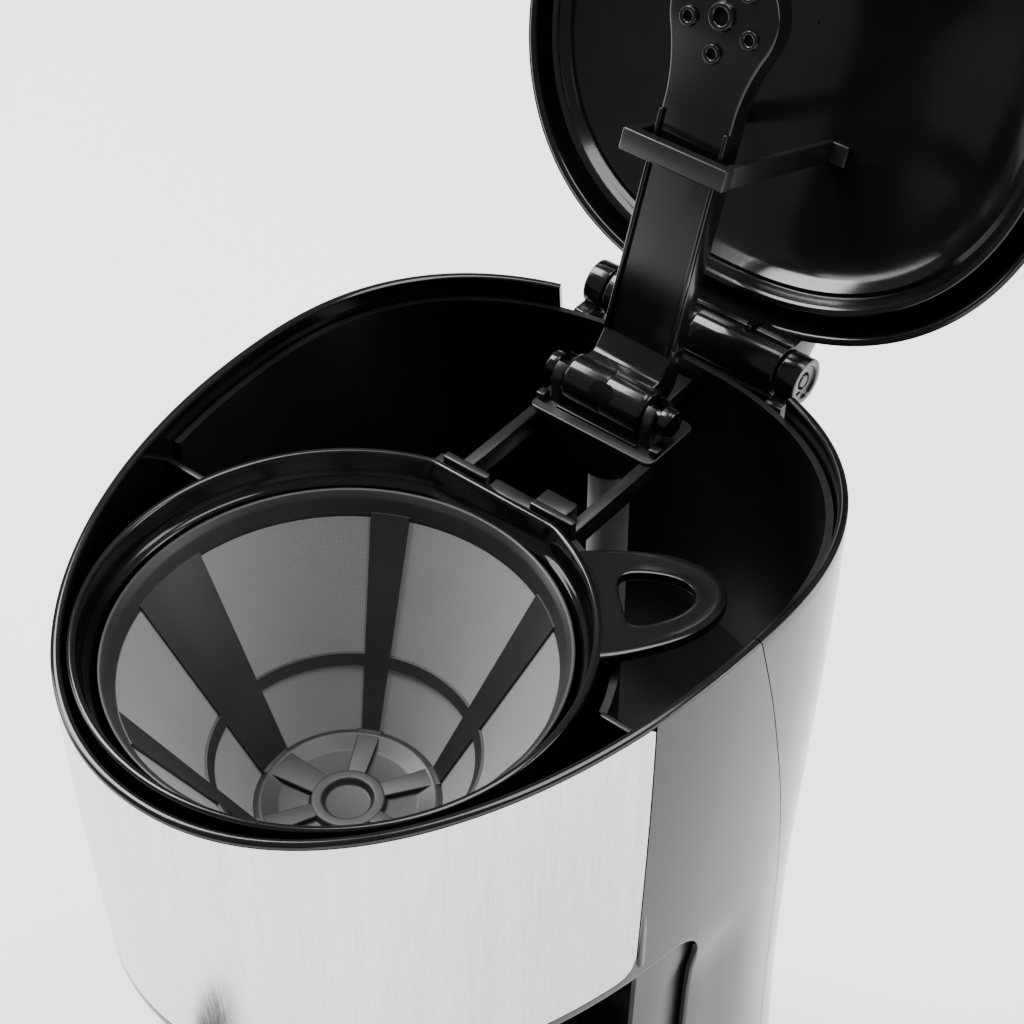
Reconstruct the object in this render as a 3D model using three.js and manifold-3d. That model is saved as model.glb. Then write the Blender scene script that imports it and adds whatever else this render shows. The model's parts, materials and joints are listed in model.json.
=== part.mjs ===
// Drip coffee maker with a waisted, egg-shaped body, a flip-up lid and a swinging spray arm.
// Millimetres, +Z up. The front is -Y and +X is the right-hand side.
// While it is built, the brew basket's axis is x = 0, y = 0 and the standing surface is z = 0;
// the finished group is then moved along Y so that its origin is below the middle of its box.
import * as THREE from "three";
import { mergeVertices } from "three/addons/utils/BufferGeometryUtils.js";
import Module from "manifold-3d";

const wasm = await Module();
wasm.setup();

// ---------------------------------------------------------------- driving dimensions
const HALF_WIDTH = 80.5; // of the body at its rim
const FRONT_REACH = 124.2; // from the widest place to the front of the rim
const REAR_REACH = 76.4; // from the widest place to the back of the rim
const WIDEST_Y = 59.2;
const FRONT_POWER = 2.08; // superellipse powers of the two halves of the outline
const REAR_POWER = 2.36;
const OUTLINE_SEGMENTS = 36;
const WAIST_Z = 114; // height where the body is narrowest
const WAIST_SPAN = 162; // from the waist up to the rim
const WAIST_SHARE = 0.05; // how much narrower the waist is than the rim
const DRAFT_CENTRE_Y = 37.6;
const WALL = 2.4;
const GAP = 0.35; // clearance between neighbouring pieces

const RIM_Z = 276.3; // top of the rim's crown
const CROWN_Y = 50; // where the crown is highest
const CROWN_RADIUS = 1064;
const SEAM = [[52.4, 276], [74, 202], [84.5, 152], [88, 100]]; // [y, z], from the rim down
const HEAD_FLOOR_Z = 181;
const FLOOR_THICKNESS = 3;
const BASE_TOP_Z = 38.4;
const BAY_EDGE_Y = 43; // where the carafe bay ends on the outer wall
const BAY_WALL_RADIUS = 120; // hollow wall behind the carafe
const BAY_WALL_Y = -50;
const PANEL_EDGE_Y = 18.3;
const PANEL_BOTTOM_Z = 184.4;
const PANEL_THICKNESS = 0.8;
const PANEL_TOP_DROP = 1.5;

const FILTER_Z = 264; // top of the filter's rim
const FILTER_RADIUS = 54.5;
const HOLDER_RADIUS = 60.5;
const HOLDER_Z = 272;
const HANDLE_ANGLE = THREE.MathUtils.degToRad(46);
const WELL_RADIUS = 63; // of the tank wall around the basket
const PARTITION_Y = 19.5;
const TANK_TOP_DROP = 6;
const TANK_WALL = 1.8;

const HINGE = { y: 141, z: 269 };
const PIVOT = { y: 103.5, z: 272 };
const OPEN_ANGLE = THREE.MathUtils.degToRad(110);
const ARM_LENGTH = 98;
const ARM_HALF_WIDTH = 10;
const ARM_OFFSET = 5.2; // from the pivot up to the arm's underside when it is down
const ARM_THICKNESS = 7;
const SHOWER_RADIUS = 15;
const LID_RISE = 14.5;
const LID_WALL = 2;

const PLATE_RADIUS = 56;
const CARAFE_RADIUS = 62;
const CARAFE_BASE_Z = 41.5;

// ---------------------------------------------------------------- solids
/** A closed geometry as a manifold-3d solid, turned the right way out. */
function solid(geometry) {
  const bare = geometry.clone();
  bare.deleteAttribute("normal");
  bare.deleteAttribute("uv");
  const merged = mergeVertices(bare, 1e-4);
  const points = merged.attributes.position;
  const kept = [];
  let volume = 0;
  const [a, b, c] = [new THREE.Vector3(), new THREE.Vector3(), new THREE.Vector3()];
  for (let i = 0; i < merged.index.count; i += 3) {
    const [p, q, r] = [0, 1, 2].map((k) => merged.index.getX(i + k));
    if (p === q || q === r || r === p) continue;
    kept.push(p, q, r);
    a.fromBufferAttribute(points, p);
    b.fromBufferAttribute(points, q);
    c.fromBufferAttribute(points, r);
    volume += a.dot(b.cross(c));
  }
  const triVerts = new Uint32Array(volume < 0 ? kept.reverse() : kept);
  const vertProperties = new Float32Array(points.array);
  return new wasm.Manifold(new wasm.Mesh({ numProp: 3, vertProperties, triVerts }));
}

/** A manifold-3d solid as a three.js geometry with flat faces. */
function geometryOf(body) {
  const mesh = body.getMesh();
  const indexed = new THREE.BufferGeometry();
  indexed.setAttribute("position", new THREE.BufferAttribute(mesh.vertProperties, 3));
  indexed.setIndex(new THREE.BufferAttribute(mesh.triVerts, 1));
  const faceted = indexed.toNonIndexed();
  faceted.computeVertexNormals();
  return faceted;
}

const union = (first, ...rest) => rest.reduce((sum, next) => sum.add(next), first);
const without = (first, ...rest) => rest.reduce((sum, next) => sum.subtract(next), first);

function box(x0, x1, y0, y1, z0, z1) {
  const block = new THREE.BoxGeometry(x1 - x0, y1 - y0, z1 - z0);
  block.translate((x0 + x1) / 2, (y0 + y1) / 2, (z0 + z1) / 2);
  return solid(block);
}

/** A cylinder standing on z0. */
function post(radius, z0, z1, x = 0, y = 0, sides = 24, topRadius = radius) {
  const round = new THREE.CylinderGeometry(topRadius, radius, z1 - z0, sides);
  round.rotateX(Math.PI / 2);
  round.translate(x, y, (z0 + z1) / 2);
  return solid(round);
}

/** A cylinder lying along X. */
function rod(radius, x0, x1, y, z, sides = 20) {
  const round = new THREE.CylinderGeometry(radius, radius, x1 - x0, sides);
  round.rotateZ(Math.PI / 2);
  round.translate((x0 + x1) / 2, y, z);
  return solid(round);
}

/** A cylinder lying along Y. */
function bar(radius, y0, y1, x, z, sides = 20) {
  const round = new THREE.CylinderGeometry(radius, radius, y1 - y0, sides);
  round.translate(x, (y0 + y1) / 2, z);
  return solid(round);
}

/** A profile of [radius, height] points turned about a vertical axis. */
function turned(profile, sides = 32, x = 0, y = 0) {
  const points = profile.map(([r, z]) => new THREE.Vector2(r, z));
  const round = new THREE.LatheGeometry(points, sides);
  round.rotateX(Math.PI / 2);
  round.translate(x, y, 0);
  return solid(round);
}

function shapeOf(points) {
  return new THREE.Shape(points.map(([u, v]) => new THREE.Vector2(u, v)));
}

/** A flat outline in X and Y, as high as from z0 to z1, turned about Z and then moved. */
function slab(shape, z0, z1, curveSegments = 8, angle = 0, x = 0, y = 0) {
  const flat = new THREE.ExtrudeGeometry(shape, { depth: z1 - z0, bevelEnabled: false, curveSegments });
  flat.rotateZ(angle);
  flat.translate(x, y, z0);
  return solid(flat);
}

/** A flat outline in Y and Z, as wide as from x0 to x1. */
function sideways(shape, x0, x1, curveSegments = 10) {
  const flat = new THREE.ExtrudeGeometry(shape, { depth: x1 - x0, bevelEnabled: false, curveSegments });
  flat.rotateX(Math.PI / 2);
  flat.rotateZ(Math.PI / 2);
  flat.translate(x0, 0, 0);
  return solid(flat);
}

/** A round tube along a smooth curve through the points. */
function hose(points, radius, steps, sides = 8) {
  const path = new THREE.CatmullRomCurve3(points.map((p) => new THREE.Vector3(...p)));
  const section = new THREE.Shape();
  section.absarc(0, 0, radius, 0, 2 * Math.PI);
  const options = { steps, extrudePath: path, bevelEnabled: false, curveSegments: sides };
  return solid(new THREE.ExtrudeGeometry(section, options));
}

// ---------------------------------------------------------------- the body's outline
function waistScale(z) {
  return 1 - (WAIST_SHARE / 2) * (1 + Math.cos((Math.PI * (z - WAIST_Z)) / WAIST_SPAN));
}

/** The outline's point at an angle, moved in by inset and drawn in at the waist's height. */
function outlinePoint(angle, inset, z) {
  const [cos, sin] = [Math.cos(angle), Math.sin(angle)];
  const rear = sin > 0;
  const power = 2 / (rear ? REAR_POWER : FRONT_POWER);
  const reach = (rear ? REAR_REACH : FRONT_REACH) - inset;
  const x = (HALF_WIDTH - inset) * Math.sign(cos) * Math.abs(cos) ** power;
  const y = WIDEST_Y + reach * Math.sign(sin) * Math.abs(sin) ** power;
  const scale = waistScale(Math.min(z, RIM_Z));
  return [x * scale, DRAFT_CENTRE_Y + (y - DRAFT_CENTRE_Y) * scale];
}

/** A closed ring around the body: a profile of [inset, height] points carried along the outline. */
function around(profile, solidCore = false) {
  const reference = 200;
  const points = profile.map(([inset, z]) => new THREE.Vector2(reference - inset, z));
  if (solidCore) {
    points.unshift(new THREE.Vector2(0, profile[0][1]));
    points.push(new THREE.Vector2(0, profile.at(-1)[1]));
  } else {
    points.push(points[0].clone());
  }
  const ring = new THREE.LatheGeometry(points, OUTLINE_SEGMENTS);
  ring.rotateX(Math.PI / 2);
  const place = ring.attributes.position;
  for (let i = 0; i < place.count; i++) {
    const [x, y, z] = [place.getX(i), place.getY(i), place.getZ(i)];
    const radius = Math.hypot(x, y);
    const outline = outlinePoint(Math.atan2(y, x), radius > 1 ? reference - radius : 0, z);
    const middle = [0, WIDEST_Y];
    const [px, py] = radius > 1 ? outline : middle;
    place.setXYZ(i, px, py, z);
  }
  return solid(ring);
}

/** Heights between two ends, close enough to follow the waist. */
function heights(z0, z1) {
  const count = Math.max(1, Math.round((z1 - z0) / 60));
  return Array.from({ length: count + 1 }, (_, i) => z0 + ((z1 - z0) * i) / count);
}

/** Everything inside the outline moved in by inset, from z0 to z1. */
function core(inset, z0, z1) {
  return around(heights(z0, z1).map((z) => [inset, z]), true);
}

/** The wall between two insets, from z0 to z1. */
function wall(outer, inner, z0, z1) {
  const levels = heights(z0, z1);
  const outside = levels.map((z) => [outer, z]);
  const inside = levels.toReversed().map((z) => [inner, z]);
  return around([...outside, ...inside]);
}

/** All that lies below the crowned rim, lowered by drop. */
function belowCrown(drop = 0) {
  const half = Math.asin(160 / CROWN_RADIUS);
  const shape = new THREE.Shape();
  const centreZ = RIM_Z - drop - CROWN_RADIUS;
  shape.moveTo(CROWN_Y - 160, -5);
  shape.lineTo(CROWN_Y + 160, -5);
  shape.absarc(CROWN_Y, centreZ, CROWN_RADIUS, Math.PI / 2 - half, Math.PI / 2 + half, false);
  shape.closePath();
  return sideways(shape, -110, 110, 8);
}

function crownZ(y) {
  return RIM_Z - (y - CROWN_Y) ** 2 / (2 * CROWN_RADIUS);
}

/** A box with its rear corners rounded, as wide as the body: what the carafe bay removes. */
function bayCut(z0, z1, edgeY, radius) {
  const shape = new THREE.Shape();
  shape.moveTo(-130, z0);
  shape.lineTo(edgeY - radius, z0);
  shape.absarc(edgeY - radius, z0 + radius, radius, -Math.PI / 2, 0, false);
  shape.absarc(edgeY - radius, z1 - radius, radius, 0, Math.PI / 2, false);
  shape.lineTo(-130, z1);
  shape.closePath();
  return sideways(shape, -110, 110, 4);
}

// ---------------------------------------------------------------- materials
const finish = (color, roughness, metalness = 0) =>
  new THREE.MeshStandardMaterial({ color, roughness, metalness });
const GLOSS_BLACK = finish(0x0b0b0c, 0.16);
const SATIN_BLACK = finish(0x111112, 0.42);
const DARK_GREY = finish(0x303032, 0.5);
const STEEL = finish(0xc9c9cb, 0.32, 1);
const BRIGHT_METAL = finish(0xb8b8bc, 0.25, 1);
const CAST_METAL = finish(0x9d9da0, 0.5, 1);
const COATED_METAL = finish(0x1d1d1e, 0.55, 0.6);
const SILICONE = finish(0xb9bab8, 0.5);
const RUBBER = finish(0x18181a, 0.85);
const MESH_GREY = finish(0x8d8d90, 0.6);
const GLASS = new THREE.MeshStandardMaterial({
  color: 0xdfe6e8,
  roughness: 0.05,
  transparent: true,
  opacity: 0.3,
});

const pieces = new Map();
const piece = (name, body, material) => {
  const mesh = new THREE.Mesh(geometryOf(body), material);
  mesh.name = name;
  pieces.set(name, mesh);
};

// ---------------------------------------------------------------- switch and gland
const SWITCH = { x: 76.2, y: 28, z: 22, angle: THREE.MathUtils.degToRad(-8.3) };
const ROCKER_TIP = THREE.MathUtils.degToRad(7); // each way from the middle
const GLAND_RADIUS = 5;
const GLAND_Z = 20;

/** A block around the switch's place: from near to far out of the wall, and its two half sizes. */
function switchBlock(near, far, halfLength, halfHeight) {
  const outline = shapeOf([[near, -halfLength], [far, -halfLength], [far, halfLength], [near, halfLength]]);
  return slab(outline, SWITCH.z - halfHeight, SWITCH.z + halfHeight, 1, SWITCH.angle, SWITCH.x, SWITCH.y);
}

/** The rocker turns about a vertical axis in the middle of its bezel, and rests tipped to off. */
function switchRocker() {
  const outline = shapeOf([[-4, -8.8], [2.6, -9.6], [1.2, 0], [2.6, 9.6], [-4, 8.8]]);
  const turn = SWITCH.angle - ROCKER_TIP;
  return slab(outline, SWITCH.z - 5.4, SWITCH.z + 5.4, 1, turn, SWITCH.x, SWITCH.y);
}

function switchBezel() {
  const frame = union(switchBlock(-7, 1, 11.5, 7.5), switchBlock(-0.2, 1.2, 13.4, 9.4));
  return frame.subtract(switchBlock(-9, 9, 10.4, 5.9));
}

function cordGland() {
  const backY = outlinePoint(Math.PI / 2, 0, GLAND_Z)[1];
  const body = union(
    bar(GLAND_RADIUS, backY - 6, backY + 3, 0, GLAND_Z, 16),
    bar(7.5, backY + 0.4, backY + 2.6, 0, GLAND_Z, 16),
    bar(7, backY - 6, backY - WALL - 0.5, 0, GLAND_Z, 16),
  );
  return body.subtract(bar(2.6, backY - 20, backY + 20, 0, GLAND_Z, 12));
}

// ---------------------------------------------------------------- casings
const bayWall = () => {
  const slabTop = HEAD_FLOOR_Z + FLOOR_THICKNESS - 0.5;
  const arc = without(
    post(BAY_WALL_RADIUS + WALL, BASE_TOP_Z - WALL, slabTop, 0, BAY_WALL_Y, 60),
    post(BAY_WALL_RADIUS, 0, 400, 0, BAY_WALL_Y, 60),
  );
  const inside = union(
    core(WALL + 0.5, 20, 200),
    core(0.4, 20, 200).intersect(box(-100, 100, -100, 60, 20, 200)),
  );
  return arc.intersect(inside).intersect(box(-100, 100, BAY_EDGE_Y - 3, 100, 0, 300));
};

/** Everything in front of the seam, or behind it, half a gap away from it. */
function besideSeam(side) {
  const shift = (side * GAP) / 2;
  const line = SEAM.map(([y, z]) => [y + shift, z]);
  const far = side * 200;
  const [topY, topZ] = line[0];
  const bottomY = line.at(-1)[0];
  const above = [[far, -5], [far, 300], [topY - 7, 300], [topY, topZ]];
  return sideways(shapeOf([...above, ...line.slice(1), [bottomY, -5]]), -100, 100);
}

const insideBayWall = (margin = 0) => post(BAY_WALL_RADIUS + margin, 0, 400, 0, BAY_WALL_Y, 60);
const SCREW_PLACES = [[-66, 8], [66, 8], [-52, 96], [52, 96]];

function frontHousing() {
  const front = besideSeam(-1);
  const shell = wall(0, WALL, 4, 286).intersect(front).intersect(belowCrown());
  const opened = shell.subtract(bayCut(BASE_TOP_Z, HEAD_FLOOR_Z, BAY_EDGE_Y, 12));
  const floor = core(1, HEAD_FLOOR_Z, HEAD_FLOOR_Z + FLOOR_THICKNESS)
    .intersect(front)
    .intersect(insideBayWall(1))
    .add(core(WALL + 0.5, HEAD_FLOOR_Z, HEAD_FLOOR_Z + FLOOR_THICKNESS).intersect(insideBayWall(1)))
    .subtract(post(16, 150, 200));
  const deck = core(1, BASE_TOP_Z - WALL, BASE_TOP_Z)
    .intersect(front)
    .intersect(insideBayWall(1))
    .add(core(WALL + 0.5, BASE_TOP_Z - WALL, BASE_TOP_Z).intersect(insideBayWall(1)))
    .subtract(post(PLATE_RADIUS + 2.2, 20, 60, 0, 0, 40));
  const recess = wall(-4, PANEL_THICKNESS + GAP, PANEL_BOTTOM_Z - GAP, 286)
    .intersect(box(-100, 100, -100, PANEL_EDGE_Y + GAP, 100, 300))
    .intersect(belowCrown(PANEL_TOP_DROP - GAP));
  const switchHole = switchBlock(-8, 4, 11.9, 7.9);
  const switchSeat = switchBlock(-0.6, 4, 13.8, 9.8);
  const bosses = SCREW_PLACES.filter(([, y]) => y < BAY_EDGE_Y).map(([x, y]) =>
    post(3.6, 8, BASE_TOP_Z - 1, x, y, 12).subtract(post(1.5, 0, 24, x, y, 10)),
  );
  return without(union(opened, floor, deck, bayWall(), ...bosses), recess, switchHole, switchSeat);
}

function rearCover() {
  const back = besideSeam(1);
  const notch = box(-37, 37, 110, 160, HINGE.z - 7.5, 300);
  const shell = wall(0, WALL, 4, 286).intersect(back).intersect(belowCrown()).subtract(notch);
  const ears = [-1, 1].map((side) => {
    const [x0, x1] = side > 0 ? [27.6, 33.5] : [-33.5, -27.6];
    const web = box(x0, x1, 130.4, HINGE.y, HINGE.z - 14, HINGE.z - 1);
    return union(rod(6.4, x0, x1, HINGE.y, HINGE.z, 20), web).subtract(
      rod(2.3, x0 - 1, x1 + 1, HINGE.y, HINGE.z, 12),
    );
  });
  const bosses = SCREW_PLACES.filter(([, y]) => y > BAY_EDGE_Y).map(([x, y]) =>
    union(
      post(4, 8, 32, x, y, 12),
      box(Math.min(x, Math.sign(x) * 76), Math.max(x, Math.sign(x) * 76), y - 1.2, y + 1.2, 10, 30)
        .intersect(core(1, 4, 60)),
    ).subtract(post(1.5, 0, 24, x, y, 10)),
  );
  const glandHole = bar(GLAND_RADIUS + 0.3, 110, 150, 0, GLAND_Z, 16);
  return union(shell, ...ears, ...bosses).subtract(glandHole);
}

function steelPanel() {
  const [bottom, corner] = [PANEL_BOTTOM_Z, 6];
  const shape = new THREE.Shape();
  shape.moveTo(-100, bottom);
  shape.lineTo(PANEL_EDGE_Y - corner, bottom);
  shape.absarc(PANEL_EDGE_Y - corner, bottom + corner, corner, -Math.PI / 2, 0, false);
  shape.lineTo(PANEL_EDGE_Y, 300);
  shape.lineTo(-100, 300);
  shape.closePath();
  return wall(0, PANEL_THICKNESS, 150, 286)
    .intersect(sideways(shape, -110, 110, 6))
    .intersect(belowCrown(PANEL_TOP_DROP));
}

function bottomCover() {
  const plate = core(WALL + 0.5, 5, 7.4);
  const holes = SCREW_PLACES.map(([x, y]) => post(1.7, 0, 20, x, y, 10));
  const vents = [-2, -1, 0, 1, 2].map((k) => box(-18, 18, 40 + k * 7, 43 + k * 7, 0, 20));
  return without(plate, ...holes, ...vents);
}

const TANK_SPIGOTS = [[-30, 92], [0, PIVOT.y]];

function tank() {
  const region = (grow) => {
    const upper = core(WALL + 0.6 + TANK_WALL - grow, HEAD_FLOOR_Z + 5.4 - grow, 280 + grow)
      .intersect(box(-100, 100, PARTITION_Y + TANK_WALL - grow, 200, 0, 400))
      .subtract(post(WELL_RADIUS + TANK_WALL - grow, 0, 400, 0, 0, 40));
    const lower = core(WALL + 0.6 + TANK_WALL - grow, 46 - grow, HEAD_FLOOR_Z + 10)
      .subtract(insideBayWall(WALL + 0.6 + TANK_WALL - grow));
    return union(upper, lower);
  };
  const lowTop = FILTER_Z + 2;
  const cuts = [
    post(70, lowTop, 300, 0, 0, 32),
    box(-100, 100, 0, 26, lowTop, 300),
    box(-21, 21, 50, 66.5, FILTER_Z - 7.6, 300),
    box(-38, 38, 120, 150, HINGE.z - 9, 300),
  ];
  const spigots = TANK_SPIGOTS.map(([x, y]) => post(4.4, 40.4, 45, x, y, 12));
  const bores = TANK_SPIGOTS.map(([x, y]) => post(2.6, 30, 60, x, y, 10));
  const tub = without(region(TANK_WALL), region(0), ...cuts).intersect(belowCrown(TANK_TOP_DROP));
  return without(union(tub, ...spigots), ...bores);
}

// ---------------------------------------------------------------- brew head
const SEAT_HALF_WIDTH = 30;

/** Carries the back of the basket's ring, and reaches back over the tank to the arm's pivot. */
function bridgeFrame() {
  const [seatInner, seatOuter, seatLow, seatHigh] = [57.5, WELL_RADIUS - 0.4, 257, 260.6];
  const seatTop = [[seatOuter, seatHigh], [seatInner, seatHigh]];
  const ring = turned([[seatInner, seatLow], [seatOuter, seatLow], ...seatTop, [seatInner, seatLow]], 48);
  const seat = ring.intersect(box(-SEAT_HALF_WIDTH, SEAT_HALF_WIDTH, 40, 80, 250, 270));
  const rearWall = box(-20, 20, 61.2, 63.6, 257, FILTER_Z + 5.5)
    .subtract(box(-8, 7, 60, 65, FILTER_Z + 1.5, 300));
  const tab = box(-7, 6, 61.2, 66, FILTER_Z - 1, FILTER_Z + 1.5);
  const bars = [-1, 1].map((side) => {
    const [x0, x1] = side > 0 ? [15.8, 18.8] : [-18.8, -15.8];
    return box(x0, x1, 61.5, 97, FILTER_Z - 6, FILTER_Z + 0.4);
  });
  const plate = box(-19.2, 19.2, 93.6, 113, FILTER_Z - 0.7, FILTER_Z + 1.4);
  const apron = box(-17, 17, 95, 97, FILTER_Z - 9, FILTER_Z);
  const beam = box(-7, 7, 111, 129.6, FILTER_Z - 7, FILTER_Z - 0.5);
  const duct = post(8, FILTER_Z - 14, FILTER_Z, 0, PIVOT.y, 20)
    .subtract(post(5.9, 0, FILTER_Z - 6, 0, PIVOT.y, 16));
  const outlet = post(2.4, FILTER_Z - 8, 300, 0, PIVOT.y, 12);
  const cheeks = [-1, 1].map((side) => {
    const [x0, x1] = side > 0 ? [12.5, 15.5] : [-15.5, -12.5];
    const cheek = union(box(x0, x1, 98.5, 108.5, FILTER_Z, PIVOT.z), rod(5, x0, x1, PIVOT.y, PIVOT.z, 20));
    const mouth = box(x0 - 1, x1 + 1, PIVOT.y - 2, PIVOT.y + 2, PIVOT.z + 1.6, PIVOT.z + 8);
    return without(cheek, rod(2.8, x0 - 1, x1 + 1, PIVOT.y, PIVOT.z, 16), mouth);
  });
  const ledge = without(union(plate, apron, beam, duct), outlet);
  return union(seat, rearWall, tab, ...bars, ledge, ...cheeks);
}

/** The arm's outline seen from above when it is down: a strip that ends in a round head. */
function armOutline(inset) {
  const [width, radius] = [ARM_HALF_WIDTH - inset, SHOWER_RADIUS - inset];
  const tipY = PIVOT.y - ARM_LENGTH;
  const spread = 1.35;
  const shape = new THREE.Shape();
  shape.moveTo(width, PIVOT.y - 2 - inset);
  shape.lineTo(width, tipY + radius * 1.5);
  const [sideX, sideY] = [radius * Math.sin(spread), tipY + radius * Math.cos(spread)];
  shape.quadraticCurveTo(width, tipY + radius * 1.05, sideX, sideY);
  shape.absarc(0, tipY, radius, Math.PI / 2 - spread, Math.PI / 2 + spread, true);
  shape.quadraticCurveTo(-width, tipY + radius * 1.05, -width, tipY + radius * 1.5);
  shape.lineTo(-width, PIVOT.y - 2 - inset);
  shape.closePath();
  return shape;
}

function sprayArm() {
  const under = PIVOT.z + ARM_OFFSET;
  const strip = slab(armOutline(0), under, under + ARM_THICKNESS, 6);
  const channel = slab(armOutline(1.5), under + 1.4, under + ARM_THICKNESS - 1.4, 6);
  const barrel = rod(6.2, -12, 12, PIVOT.y, PIVOT.z, 20);
  const neckTop = under + ARM_THICKNESS;
  const neckShape = shapeOf([[PIVOT.y - 6.1, PIVOT.z], [PIVOT.y + 6.1, PIVOT.z], [PIVOT.y - 2, neckTop],
    [PIVOT.y - 14, neckTop], [PIVOT.y - 14, under]]);
  const neck = sideways(neckShape, -ARM_HALF_WIDTH - 0.6, ARM_HALF_WIDTH + 0.6);
  const pins = rod(2.45, -19, 19, PIVOT.y, PIVOT.z, 12);
  const caps = [-1, 1].map((side) => {
    const [x0, x1] = side > 0 ? [16, 19.4] : [-19.4, -16];
    return rod(4, x0, x1, PIVOT.y, PIVOT.z, 12);
  });
  const tipY = PIVOT.y - ARM_LENGTH;
  const ports = [post(2.4, under - 3, under + 3, 0, tipY, 12)];
  const bosses = [];
  for (let i = 0; i < 5; i++) {
    const angle = ((i + 0.25) * 2 * Math.PI) / 5;
    const [x, y] = [9.2 * Math.cos(angle), tipY + 9.2 * Math.sin(angle)];
    ports.push(post(1.3, under - 3, under + 3, x, y, 8));
    bosses.push(post(2.1, under - 0.7, under + 1, x, y, 8));
  }
  bosses.push(post(3.4, under - 0.7, under + 1, 0, tipY, 12));
  const inlet = box(-2.6, 2.6, PIVOT.y - 10, PIVOT.y - 3, PIVOT.z - 3.4, PIVOT.z + 1.4);
  return without(union(strip, barrel, neck, pins, ...caps, ...bosses), channel, ...ports, inlet);
}

// ---------------------------------------------------------------- lid
/** The lid's dome and skirt: a shell of one thickness over the rim. */
function dome(inset, rise, drop) {
  const levels = [0, 0.6, 0.86, 0.97, 1];
  const profile = levels.map((k) => {
    const height = rise * Math.sqrt(Math.max(0, 1 - k ** 5));
    return [k, height];
  });
  const reference = 200;
  const points = profile.map(([k, h]) => new THREE.Vector2(reference * k, h));
  points.push(new THREE.Vector2(reference, -drop), new THREE.Vector2(0, -drop));
  const cap = new THREE.LatheGeometry(points, OUTLINE_SEGMENTS);
  cap.rotateX(Math.PI / 2);
  const place = cap.attributes.position;
  for (let i = 0; i < place.count; i++) {
    const [x, y, h] = [place.getX(i), place.getY(i), place.getZ(i)];
    const share = Math.hypot(x, y) / reference;
    const [px, py] = outlinePoint(Math.atan2(y, x), inset, RIM_Z);
    const [qx, qy] = [px * share, WIDEST_Y + (py - WIDEST_Y) * share];
    place.setXYZ(i, qx, qy, crownZ(qy) + GAP + h);
  }
  return solid(cap);
}

function lid() {
  const shell = dome(0, LID_RISE, 0).subtract(dome(LID_WALL, LID_RISE - LID_WALL, 6));
  const knuckle = union(
    rod(6.8, -26.8, 26.8, HINGE.y, HINGE.z, 24),
    sideways(
      shapeOf([[HINGE.y - 6, HINGE.z], [HINGE.y + 6.8, HINGE.z], [HINGE.y + 5, HINGE.z + 9],
        [132, HINGE.z + 16], [128, HINGE.z + 15], [132.5, HINGE.z + 6]]),
      -26.8, 26.8),
  );
  return union(shell, knuckle).subtract(rod(2.3, -40, 40, HINGE.y, HINGE.z, 12));
}

const LINER_TOP = LID_RISE - LID_WALL - GAP;
const LINER_WALL = 1.5;

function lidLiner() {
  return dome(7, LINER_TOP, 0).subtract(dome(8.6, LINER_TOP - LINER_WALL, 6));
}

/** Strap under the lid's liner: it pulls the spray arm up with the lid. */
function lidStrap() {
  const y = HINGE.y - 53;
  const [y0, y1] = [y - 2.8, y + 2.8];
  const [barLow, barHigh] = [HINGE.z - 37.5, HINGE.z - 33.5];
  const legTop = crownZ(y) + LINER_TOP - LINER_WALL - 0.4;
  const sides = [-1, 1].map((side) => {
    const [inner, outer, toe] = [12.6 * side, 14.6 * side, 19 * side];
    const leg = box(Math.min(inner, outer), Math.max(inner, outer), y0, y1, barLow, legTop);
    return leg.add(box(Math.min(inner, toe), Math.max(inner, toe), y0, y1, legTop - 1.6, legTop));
  });
  return union(box(-14.6, 14.6, y0, y1, barLow, barHigh), ...sides);
}

// ---------------------------------------------------------------- basket and filter
function basketHolder() {
  const [r, z] = [HOLDER_RADIUS, HOLDER_Z];
  const cup = turned([[6, 197.4], [44, 199], [56, 256], [56, 261.4], [r, 261.4], [r, z], [r - 2.2, z],
    [r - 2.2, 263.2], [56, 263.2], [54.4, 257], [42, 201.4], [6, 199.6], [6, 197.4]], 32);
  const spout = turned([[4.2, 186], [8, 186], [10, 199], [2.2, 199], [2.2, 197.6], [4.2, 197.4], [4.2, 186]],
    20);
  const drains = [0, 1, 2, 3].map((i) => {
    const angle = ((i + 0.5) * Math.PI) / 2;
    return post(0.9, 180, 205, 3.6 * Math.cos(angle), 3.6 * Math.sin(angle), 8);
  });
  const flat = box(-16, 16, r - 3, r + 5, 250, 300);
  const flatWall = box(-18.5, 18.5, r - 4.9, r - 3, 261.4, z);
  const ring = cup.subtract(flat).add(flatWall.intersect(post(r, 255, 300, 0, 0, 32)));
  const outer = new THREE.Shape();
  outer.moveTo(r - 1.6, -17);
  outer.quadraticCurveTo(r + 14, -15, r + 23, -8);
  outer.absarc(r + 20.5, 0, 8.5, -1.1, 1.1, false);
  outer.quadraticCurveTo(r + 14, 15, r - 1.6, 17);
  outer.closePath();
  const hole = new THREE.Shape();
  hole.moveTo(r + 6, -6.5);
  hole.quadraticCurveTo(r + 17, -6, r + 22, -1.5);
  hole.quadraticCurveTo(r + 23, 0, r + 22, 1.5);
  hole.quadraticCurveTo(r + 17, 6, r + 6, 6.5);
  hole.closePath();
  const loop = slab(outer, z - 3.6, z - 0.2, 6, HANDLE_ANGLE)
    .subtract(slab(hole, z - 10, z + 5, 6, HANDLE_ANGLE));
  return union(ring, spout, loop.subtract(post(r - 1, 200, 300, 0, 0, 32))).subtract(union(...drains));
}

const RIB_ANGLES = [185.5, 117.5, 58.5, 0, -60, -118];
const FILTER_DEPTH = 56;

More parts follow.
